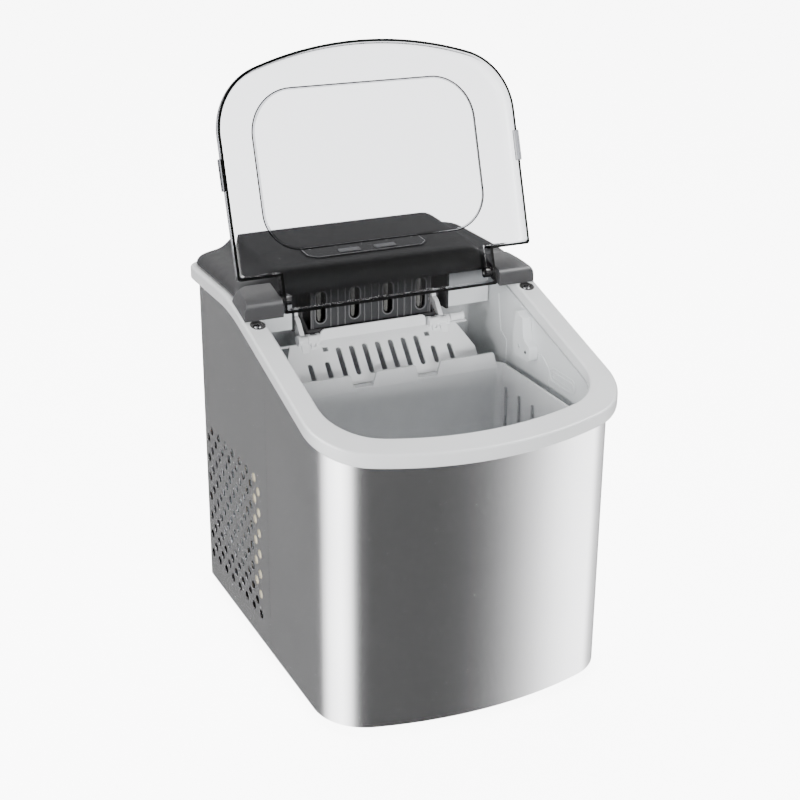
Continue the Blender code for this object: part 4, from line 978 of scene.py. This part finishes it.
tank = {
    "wall": 0.0022,
    "floor": 0.060,
    "rear": 0.025,
    "shelf": 0.2072,
    "chamber": 0.1198,
    "loopRise": 0.0006,
}
basket = {
    "half": 0.113,
    "front": -0.150,
    "rear": 0.023,
    "floor": 0.150,
    "top": 0.248,
    "wall": 0.0022,
    "lip": 0.260,
    "bow": 0.345,
}


def makeLiner():
    grow = case["innerSkin"] * 0.65
    wall, back, floor = tank["wall"], tank["chamber"], tank["floor"]
    shell = slab([openingPlan(grow, back + wall)], floor - 0.01, 0.40)
    top = topLine(case["lip"] + case["gap"], case["front"], back + wall + 0.01)
    outside = [
        (case["front"], floor),
        (tank["rear"] + wall, floor),
        (tank["rear"] + wall, tank["shelf"] - wall),
        (back + wall + 0.01, tank["shelf"] - wall),
        *reversed(top),
    ]
    shell = kept(shell, slab([outside], -0.2, 0.2, sideways))
    inside = rounded(
        [
            (case["front"], floor + wall, 0),
            (tank["rear"], floor + wall, 0.006),
            (tank["rear"], tank["shelf"], 0),
            (back + 0.02, tank["shelf"], 0),
            (back + 0.02, 0.44, 0),
            (case["front"], 0.44, 0),
        ],
        6,
    )
    room = kept(slab([openingPlan(grow - wall, back)], floor, 0.45), slab([inside], -0.2, 0.2, sideways))
    shell = cut(shell, room)
    innerHalf = openHalf + grow - wall
    ledges = []
    for side in (-1, 1):
        x0, x1 = span(side, basket["half"] - 0.006, innerHalf + 0.001)
        ledges.append(block(x0, x1, -0.090, 0.005, basket["floor"] - 0.006, basket["floor"] - case["gap"]))
    shell = joined(shell, gathered(ledges))
    piece("tank_wall", shell, linerWhite, "case", ["tank_liner"], 30)
    # raised loops on both side walls
    for side, name in ((-1, "left"), (1, "right")):
        x = side * (innerHalf - tank["loopRise"] * 0.2)
        loops = []
        for y, z, width, height in ((-0.070, 0.2585, 0.044, 0.013), (-0.070, 0.2585, 0.036, 0.006)):
            loops.append(tube([(x, a, b) for a, b in slot(y, z, width, height)], tank["loopRise"], True, 3))
        band = bent([(x, -0.026, 0.2700, 0), (x, -0.034, 0.2700, 0.006), (x, -0.046, 0.2620, 0.006),
            (x, -0.046, 0.2420, 0)])
        loops.append(tube(band, tank["loopRise"], False, 3))
        step = bent([(x, 0.034, 0.2180, 0), (x, 0.034, 0.2640, 0.004), (x, 0.046, 0.2700, 0.004),
            (x, 0.052, 0.3050, 0)])
        loops.append(tube(step, tank["loopRise"], False, 3))
        piece(f"tank_ribs_{name}", gathered(loops), linerWhite, "case")


def makeBasket():
    corner = case["openCorner"] - 0.010
    half, front, rear, wall = basket["half"], basket["front"], basket["rear"], basket["wall"]
    outline = plan(half, front, rear, corner, 0.008, basket["bow"])
    mesh = slab([outline], basket["floor"], basket["top"])
    inner = plan(half - wall, front + wall, rear - wall, corner - wall, 0.006, basket["bow"] - wall)
    mesh = softened(mesh, 0.0010, 2, 60)
    hollow = softened(slab([inner], basket["floor"] + wall, basket["top"] + 0.05), 0.004, 4, 60)
    mesh = cut(mesh, hollow)
    ledge, top = 0.0065, basket["top"]
    rim = block(-half + 0.008, half - 0.008, rear - ledge, rear - 0.001, top - 0.004, top - 0.0005)
    mesh = joined(mesh, softened(rim, 0.0006, 2))
    lips = []
    middle, gapEnd, slope = 0.0235, 0.0415, 0.004
    for x0, x1 in ((-middle, middle), (gapEnd, half - 0.008), (-half + 0.008, -gapEnd)):
        outline = [(x0, top - 0.003, 0), (x1, top - 0.003, 0), (x1 - slope, basket["lip"], 0.002),
            (x0 + slope, basket["lip"], 0.002)]
        lips.append(softened(slab([rounded(outline)], -rear + 0.0040, -rear + ledge, upright), 0.0005, 2,
            60))
    mesh = joined(mesh, gathered(lips))
    slots = [slab([slot(-0.092 + k * 0.025, 0.195, 0.006, 0.064)], -0.2, 0.2, sideways) for k in range(5)]
    mesh = cut(mesh, gathered(slots))
    drains = [slab([slot((k - 3) * 0.028, -0.060, 0.006, 0.110)], basket["floor"] - 0.01,
        basket["floor"] + 0.01) for k in range(7)]
    mesh = cut(mesh, gathered(drains))
    piece("basket_shell", mesh, basketWhite, "basket", ["ice_basket"], 30)


makeLiner()
makeBasket()
print("tank and basket made")

# ice works

axle = Vector((0.0, 0.090, 0.300))
works = {
    "trayInner": 0.022,
    "trayWall": 0.002,
    "trayHalf": 0.066,
    "axle": 0.003,
    "finger": 0.005,
    "pitch": 0.034,
    "rows": (0.080, 0.100),
    "tip": 0.286,
    "housingTop": 0.329,
    "housingHalf": 0.080,
    "housingFront": 0.0700,
    "shovelHalf": 0.097,
    "shovelThick": 0.0022,
    "slotPitch": 0.0132,
    "clip": (0.0655, 0.2818),
    "screen": (0.0722, 0.0738, 0.2892, 0.3256),
    "screenSlot": 0.3090,
}


def polar(radius, angle):
    a = math.radians(angle)
    return (axle.y + radius * math.cos(a), axle.z + radius * math.sin(a))


def makeTray():
    outer, inner = works["trayInner"] + works["trayWall"], works["trayInner"]
    first, last = 210, 345
    angles = [first + (last - first) * k / 32 for k in range(33)]
    arc = [polar(outer, a) for a in angles] + [polar(inner, a) for a in reversed(angles)]
    half, wall = works["trayHalf"], works["trayWall"]
    mesh = softened(slab([arc], -half, half, sideways), 0.0003, 2, 50)
    sector = [polar(outer - 0.0005, a) for a in angles] + [polar(0.006, a) for a in (last, 20, 60, 90,
        120, 160, first)]
    ends, stubs = [], []
    for side in (-1, 1):
        x0, x1 = span(side, half - wall, half - 0.0001)
        ends.append(slab([sector], x0, x1, sideways))
        length = 0.0195 if side < 0 else 0.025
        stubs.append(rod(Vector((side * (half - 0.001 + length / 2), axle.y, axle.z)), works["axle"],
            length, "X"))
    mesh = joined(joined(mesh, gathered(ends)), gathered(stubs))
    piece("tray_trough", mesh, trayGrey, "tray", ["water_tray"], 35)


def makeShovel():
    upper, slope = Vector((0.0625, 0.2755)), math.radians(48.2)
    along = Vector((math.cos(slope), math.sin(slope)))
    across = Vector((-along.y, along.x))
    length, thick, half = 0.0425, works["shovelThick"], works["shovelHalf"]
    lower, under = upper - along * length, -across * thick
    section = [
        tuple(lower),
        tuple(upper),
        (0.0662, 0.2790),
        (0.0662, 0.2895),
        (0.0682, 0.2895),
        (0.0682, 0.2770),
        tuple(upper + under),
        tuple(lower + under),
    ]
    mesh = slab([section], -half, half, sideways)
    sides = []
    for side in (-1, 1):
        x0, x1 = span(side, 0.054, half + 0.01)
        sides.append(block(x0, x1, 0.0640, 0.080, 0.2784, 0.30))
    mesh = cut(mesh, gathered(sides))
    # rounded flange corners
    corners = []
    for side in (-1, 1):
        bite = [(side * 0.0490, 0.2905), (side * 0.056, 0.2905), (side * 0.056, 0.2835)]
        for k in range(7):
            a = math.pi / 2 * k / 6
            bite.append((side * (0.0490 + 0.0050 * math.cos(a)), 0.2845 + 0.0050 * math.sin(a)))
        corners.append(slab([bite], -0.075, -0.060, upright))
    mesh = cut(mesh, gathered(corners))
    plate = Matrix.Translation((0, lower.x, lower.y)) @ Matrix.Rotation(slope, 4, "X")
    slots = [slot((k - 3) * works["slotPitch"], length - 0.0190, 0.0052, 0.030) for k in range(7)]
    for side in (-1, 1):
        slots += [slot(side * x, length - 0.0255, 0.0050, 0.018) for x in (0.054, 0.071)]
        slots.append(rounded(cornersOf(side * 0.0520, length - 0.0042, 0.0026, 0.0022, 0.0004), 3))
    mesh = cut(mesh, moved(gathered([slab([outline], -0.01, 0.01) for outline in slots]), plate))
    chamfers = []
    for side in (-1, 1):
        bite = [(side * (half + 0.001), length + 0.003), (side * (half - 0.012), length + 0.003),
            (side * (half + 0.001), length - 0.026)]
        chamfers.append(slab([bite], -0.01, 0.004))
    mesh = cut(mesh, moved(gathered(chamfers), plate))
    mesh = softened(mesh, 0.0003, 2, 50)
    arms, eyes = [], []
    for side in (-1, 1):
        x0, x1 = span(side, 0.0690, 0.0735)
        eye = [polar(0.0062, a) for a in range(-60, 181, 12)]
        arm = [tuple(upper + under * 0.9), tuple(upper + Vector((0.0005, 0.0003))), (0.0675, 0.2850),
            (0.0780, 0.2975)]
        arms.append(softened(slab([arm + eye[::-1] + [(0.0905, 0.2915)]], x0, x1, sideways), 0.0004, 2, 50))
        eyes.append(rod(Vector(((x0 + x1) / 2, axle.y, axle.z)), works["axle"] + case["gap"], 0.012, "X"))
    mesh = cut(joined(mesh, gathered(arms)), gathered(eyes))
    piece("shovel_plate", mesh, worksWhite, "shovel", ["ice_shovel"], 35)


def fingerPlaces():
    front = [((k - 1.5) * works["pitch"], works["rows"][0]) for k in range(4)]
    return front + [((k - 1) * works["pitch"], works["rows"][1]) for k in range(3)]


def makeHousing():
    back, top, half = tank["chamber"] - case["gap"], works["housingTop"], works["housingHalf"]
    mesh = block(-half, half, back - 0.0028, back, 0.286, top)
    front = works["housingFront"]
    roof = block(-half, half, front, back - 0.0005, top - 0.0030, top)
    walls, cheeks, bores, ribs, holes = [], [], [], [], []
    for side in (-1, 1):
        x0, x1 = span(side, half - 0.0012, openHalf - 0.002)
        cheeks.append(block(x0, x1, front + 0.0008, front + 0.0022, 0.2920, top - 0.0016))
        x0, x1 = span(side, half - 0.0025, half)
        profile = box(front + 0.0004, back - 0.001, 0.2905, top - 0.001)
        walls.append(slab([profile], x0, x1, sideways))
        bores.append(rod(Vector(((x0 + x1) / 2, axle.y, axle.z)), works["axle"] + case["gap"], 0.010, "X"))
    for k in range(-2, 3):
        x = k * works["pitch"]
        ribs.append(softened(block(x - 0.0015, x + 0.0015, back - 0.0045, back - 0.002, 0.288,
            top - 0.001), 0.0004, 2))
    for k in range(-4, 4):
        x = (k + 0.5) * works["pitch"] / 2
        pocket = [slot(x, 0.305, 0.0090, 0.024), slot(x, 0.305, 0.0074, 0.0224)]
        ribs.append(slab(pocket, -back + 0.002, -back + 0.0036, upright))
    for x, y in fingerPlaces():
        holes.append(rod(Vector((x, y, top)), works["finger"] + case["gap"], 0.02))
    mesh = joined(joined(mesh, roof), gathered(walls))
    mesh = joined(mesh, gathered(ribs))
    mesh = cut(cut(mesh, gathered(bores)), gathered(holes))
    piece("chamber_back", mesh, housingGrey, "case", ["evaporator_housing"], 35)
    piece("chamber_cheeks", softened(gathered(cheeks), 0.0004, 2), linerWhite, "case", (),
        35)


def makeCurtain():
    # ribbed screen in front of the cold fingers
    near, far, low, high = works["screen"]
    level = works["screenSlot"]
    pockets = [slot(x, level, 0.0095, 0.0300) for x, y in fingerPlaces() if y == works["rows"][0]]
    sheet = slab([box(-0.0600, 0.0600, low, high), *pockets], -far, -near, upright)
    # the screen's very dark grey is partly painted shade
    piece("finger_screen", softened(sheet, 0.0003, 2, 50), curtainGrey, "case")
    ribs = []
    for x, y in fingerPlaces():
        if y != works["rows"][0]:
            continue
        frameRing = [slot(x, level, 0.0123, 0.0328), slot(x, level, 0.0099, 0.0304)]
        ribs.append(slab(frameRing, -near - 0.0001, -near + 0.0005, upright))
        for side in (-1, 1):
            ribs.append(block(x + side * 0.0098 - 0.0005, x + side * 0.0098 + 0.0005, near - 0.0008,
                near + 0.0002, low, high - 0.0010))
    for x in (-0.0345, -0.0335, 0.0, 0.0335, 0.0345, -0.0590, 0.0590):
        ribs.append(block(x - 0.0003, x + 0.0003, near - 0.0006, near + 0.0002, low, high - 0.0010))
    piece("finger_screen_ribs", softened(gathered(ribs), 0.00015, 2), ribGrey, "case")


def makeKnuckles():
    # pivot clips at both ends of the shovel's flange, and the bearing beside the right one
    y, z = works["clip"]
    for side, name in ((-1, "left"), (1, "right")):
        bar = rod(Vector((side * 0.0665, y, z)), 0.0038, 0.0210, "X")
        collars = [rod(Vector((side * x, y, z)), 0.0052, 0.0030, "X") for x in (0.0572, 0.0662, 0.0758)]
        x0, x1 = span(side, 0.0588, 0.0652)
        clip = rounded([(y - 0.0062, 0.2742, 0.0008), (y + 0.0010, 0.2742, 0.0008),
            (y + 0.0030, z, 0.001), (y + 0.0010, z + 0.0046, 0.001), (y - 0.0040, z + 0.0046, 0.002)], 4)
        body = slab([clip], x0, x1, sideways)
        notch = block(side * 0.0620 - 0.0014, side * 0.0620 + 0.0014, y - 0.0080, y - 0.0030, 0.2765,
            0.2795)
        mesh = joined(joined(bar, gathered(collars)), cut(body, notch))
        x0, x1 = span(side, 0.0675, 0.0745)
        ear = rounded([(y - 0.0075, 0.2690, 0.0006), (y - 0.0035, 0.2690, 0.0006),
            (y + 0.0020, z, 0.0006), (y - 0.0020, z + 0.0020, 0.0006)], 3)
        mesh = joined(mesh, slab([ear], x0, x1, sideways))
        piece(f"shovel_clip_{name}", softened(mesh, 0.0003, 2, 40), worksWhite, "shovel", (),
            35)
    boss = moved(turned([(0.0, 0.0138), (0.0034, 0.0138), (0.0040, 0.0132), (0.0040, 0.0008),
        (0.0048, 0.0), (0.0, 0.0)]), Matrix.Rotation(-math.pi / 2, 4, "Y"))
    piece("motor_bearing", moved(boss, Matrix.Translation((0.0928, y + 0.0005, z + 0.0012))), worksWhite,
        "case")


def makeEvaporator():
    level = works["housingTop"] + 0.0045
    rows = works["rows"]
    route = bent(
        [
            (0.092, rows[1], level, 0),
            (-0.066, rows[1], level, 0.0095),
            (-0.066, rows[0], level, 0.0095),
            (0.092, rows[0], level, 0),
        ],
        10,
    )
    mesh = tube(route, 0.0040, False, 5)
    fingers, r, tip = [], works["finger"], works["tip"]
    for x, y in fingerPlaces():
        profile = [(0.0, level + 0.0007), (r, level + 0.0007), (r, tip + 0.005), (r * 0.95, tip + 0.003),
            (r * 0.72, tip + 0.0012), (r * 0.38, tip + 0.0003), (0.0, tip)]
        fingers.append(moved(turned(profile, 28), Matrix.Translation((x, y, 0))))
    piece("cold_fingers", joined(mesh, gathered(fingers)), nickelPlate, "case", ["evaporator"],
        40)


def makeSensor():
    wall = openHalf + case["innerSkin"] * 0.65 - tank["wall"]
    under = case["lip"] + 0.0006
    outline = rounded(
        [
            (-0.025, 0.262, 0.004),
            (0.004, 0.262, 0.004),
            (0.006, 0.280, 0.010),
            (0.002, frameTop(0.002) - under, 0.001),
            (-0.010, frameTop(-0.010) - under, 0.001),
            (-0.014, 0.280, 0.012),
            (-0.025, 0.276, 0.004),
        ],
        6,
    )
    mesh = softened(slab([outline], wall - 0.0095, wall - case["gap"], sideways), 0.0009, 3, 50)
    mesh = cut(mesh, rod(Vector((wall - 0.0095, -0.006, 0.272)), 0.0022, 0.003, "X", 24))
    piece("sensor_post", mesh, linerWhite, "case", ["ice_sensor"], 35)
    dome = moved(turned([(0.0, 0.0009), (0.0010, 0.0007), (0.0015, 0.0002), (0.0015, -0.0006),
        (0.0, -0.0006)], 20), Matrix.Rotation(-math.pi / 2, 4, "Y"))
    piece("sensor_eye", moved(dome, Matrix.Translation((wall - 0.0088, -0.006, 0.272))), lensClear, "case")
    screw = cut(turned([(0.0, 0.0006), (0.0012, 0.0005), (0.0017, 0.0), (0.0, 0.0)], 24),
        block(-0.0013, 0.0013, -0.00025, 0.00025, 0.0002, 0.002))
    screw = moved(moved(screw, Matrix.Rotation(-math.pi / 2, 4, "Y")),
        Matrix.Translation((wall - 0.00948, -0.018, 0.270)))
    piece("sensor_screw", screw, screwBlack, "case")


makeTray()
makeShovel()
makeHousing()
makeCurtain()
makeKnuckles()
makeEvaporator()
makeSensor()
print("ice works made")

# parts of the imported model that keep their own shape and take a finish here

carried = {
    "base_pan": basePlastic,
    "foot_front_left": rubberBlack,
    "foot_front_right": rubberBlack,
    "foot_rear_left": rubberBlack,
    "foot_rear_right": rubberBlack,
    "display_board": boardGreen,
    "hinge_pin_left": nickelPlate,
    "hinge_pin_right": nickelPlate,
    "tank_insulation": foamCream,
    "tray_motor": housingGrey,
    "compressor": blackSteel,
    "condenser": finAluminium,
    "fan_shroud": basePlastic,
    "fan_blade": darkGrey,
    "fan_motor": blackSteel,
    "filter_drier": copperPipe,
    "suction_tube": copperPipe,
    "discharge_tube": copperPipe,
    "water_pump": blackSteel,
    "fill_hose": rubberBlack,
    "drain_spout": worksWhite,
    "drain_plug": rubberBlack,
    "main_board": boardGreen,
    "cord_gland": rubberBlack,
}
for name, finish in carried.items():
    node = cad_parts[name]
    for place in node.material_slots:
        place.material = finish
print("hidden parts finished")

# floor and studio

studio = {
    "sky": 0.32,
    "floor": (0.92, 0.92, 0.92),
    "floorGlow": 8.0,
    "floorRadius": 45.0,
    "lights": {
        "frontBox": {"power": 75.0, "place": (-0.4, -2.3, 0.50), "size": (1.8, 0.5)},
        "leftBox": {"power": 60.0, "place": (-2.3, -0.5, 0.75), "size": (1.0, 0.6)},
        "topBox": {"power": 30.0, "place": (0.2, 0.55, 1.75), "size": (1.2, 0.8)},
    },
}
# brightness of the reflected surroundings: degrees from the front towards the right, then a value
surroundings = [
    (-180, 0.42),
    (-155, 0.32),
    (-120, 0.34),
    (-122, 0.60),
    (-111, 2.60),
    (-98, 6.00),
    (-72, 8.00),
    (-56, 5.00),
    (-46, 1.00),
    (-38, 0.22),
    (-22, 0.16),
    (12, 0.145),
    (20, 0.16),
    (28, 0.32),
    (36, 0.80),
    (44, 2.00),
    (52, 4.20),
    (60, 6.00),
    (75, 6.00),
    (95, 2.00),
    (130, 0.60),
    (180, 0.42),
]
# the dome's height gain: share of its height from bottom to top, then a gain
domeHeights = [(0.0, 1.0), (0.55, 1.0), (0.68, 1.3), (0.78, 1.5), (0.82, 6.0), (0.90, 6.0), (0.93, 1.5),
    (1.0, 1.2)]


def makeWorld(look):
    world = bpy.data.worlds.new("studio")
    world.use_nodes = True
    back = world.node_tree.nodes["Background"]
    back.inputs["Color"].default_value = (1, 1, 1, 1)
    back.inputs["Strength"].default_value = look["sky"]
    bpy.context.scene.world = world


def makeFloor(look):
    mesh = slab([circle(0, 0, look["floorRadius"], 96)], -0.02, 0.0)
    floor = bpy.data.objects.new("floor", mesh)
    bpy.context.scene.collection.objects.link(floor)
    made, tree, shader = newMaterial("paleFloor")
    low = tuple(c - 0.006 for c in look["floor"])
    tree.links.new(tint(tree, noiseAt(tree, objectSpace(tree), 3.0), low, look["floor"]),
        shader.inputs["Base Color"])
    shader.inputs["Roughness"].default_value = 0.9
    shader.inputs["Specular IOR Level"].default_value = 0.1
    shader.inputs["Emission Color"].default_value = (1, 1, 1, 1)
    shader.inputs["Emission Strength"].default_value = look["floorGlow"]
    mesh.materials.append(made)
    made.cycles.emission_sampling = "NONE"
    floor.visible_glossy = floor.visible_diffuse = False


def valueRamp(tree, source, stops, most):
    ramp = addNode(tree, "ShaderNodeValToRGB")
    while len(ramp.color_ramp.elements) < len(stops):
        ramp.color_ramp.elements.new(0.5)
    for element, (place, value) in zip(ramp.color_ramp.elements, stops):
        element.position = place
        element.color = (value / most, value / most, value / most, 1)
    tree.links.new(source, ramp.inputs["Fac"])
    return ramp.outputs["Color"]


def makeSurroundings(values, heights):
    # a dome that only reflections see
    rings, steps, radius = [], 72, 4.0
    for k in range(25):
        lift = math.radians(-85 + 170 * k / 24)
        ring = []
        for n in range(steps):
            a = 2 * math.pi * n / steps
            ring.append((radius * math.cos(lift) * math.cos(a), radius * math.cos(lift) * math.sin(a),
                radius * math.sin(lift)))
        rings.append(ring)
    mesh = lofted(rings)
    dome = bpy.data.objects.new("reflection_dome", mesh)
    bpy.context.scene.collection.objects.link(dome)
    made = bpy.data.materials.new("surroundings")
    made.use_nodes = True
    tree = made.node_tree
    tree.nodes.remove(tree.nodes["Principled BSDF"])
    coordinates = addNode(tree, "ShaderNodeTexCoord")
    parts = addNode(tree, "ShaderNodeSeparateXYZ")
    tree.links.new(coordinates.outputs["Object"], parts.inputs["Vector"])
    flip = addNode(tree, "ShaderNodeMath", {"operation": "MULTIPLY"})
    flip.inputs[1].default_value = -1.0
    tree.links.new(parts.outputs["Y"], flip.inputs[0])
    angle = addNode(tree, "ShaderNodeMath", {"operation": "ARCTAN2"})
    tree.links.new(parts.outputs["X"], angle.inputs[0])
    tree.links.new(flip.outputs[0], angle.inputs[1])
    share = addNode(tree, "ShaderNodeMapRange", None, {"From Min": -math.pi, "From Max": math.pi})
    tree.links.new(angle.outputs[0], share.inputs["Value"])
    rise = addNode(tree, "ShaderNodeMapRange", None, {"From Min": -radius, "From Max": radius})
    tree.links.new(parts.outputs["Z"], rise.inputs["Value"])
    mostRound, mostHigh = max(value for _, value in values), max(value for _, value in heights)
    stops = [((degrees + 180) / 360, value) for degrees, value in values]
    around = valueRamp(tree, share.outputs["Result"], stops, mostRound)
    upwards = valueRamp(tree, rise.outputs["Result"], heights, mostHigh)
    both = addNode(tree, "ShaderNodeMix", {"data_type": "RGBA", "blend_type": "MULTIPLY"})
    both.inputs["Factor"].default_value = 1.0
    tree.links.new(around, both.inputs["A"])
    tree.links.new(upwards, both.inputs["B"])
    glow = addNode(tree, "ShaderNodeEmission", None, {"Strength": mostRound * mostHigh})
    tree.links.new(both.outputs["Result"], glow.inputs["Color"])
    tree.links.new(glow.outputs["Emission"], tree.nodes["Material Output"].inputs["Surface"])
    mesh.materials.append(made)
    made.cycles.emission_sampling = "NONE"
    dome.visible_camera = dome.visible_diffuse = dome.visible_shadow = dome.visible_transmission = False


def makeLights(look):
    for name, setup in look["lights"].items():
        data = bpy.data.lights.new(name, "AREA")
        data.shape = "RECTANGLE"
        data.size, data.size_y = setup["size"]
        data.energy = setup["power"]
        light = bpy.data.objects.new(name, data)
        bpy.context.scene.collection.objects.link(light)
        place = Vector(setup["place"])
        light.location = place
        light.rotation_euler = (Vector((0, 0, 0.25)) - place).to_track_quat("-Z", "Y").to_euler()
        light.visible_camera = light.visible_glossy = False


makeWorld(studio)
makeFloor(studio)
makeSurroundings(surroundings, domeHeights)
makeLights(studio)
print("studio made")
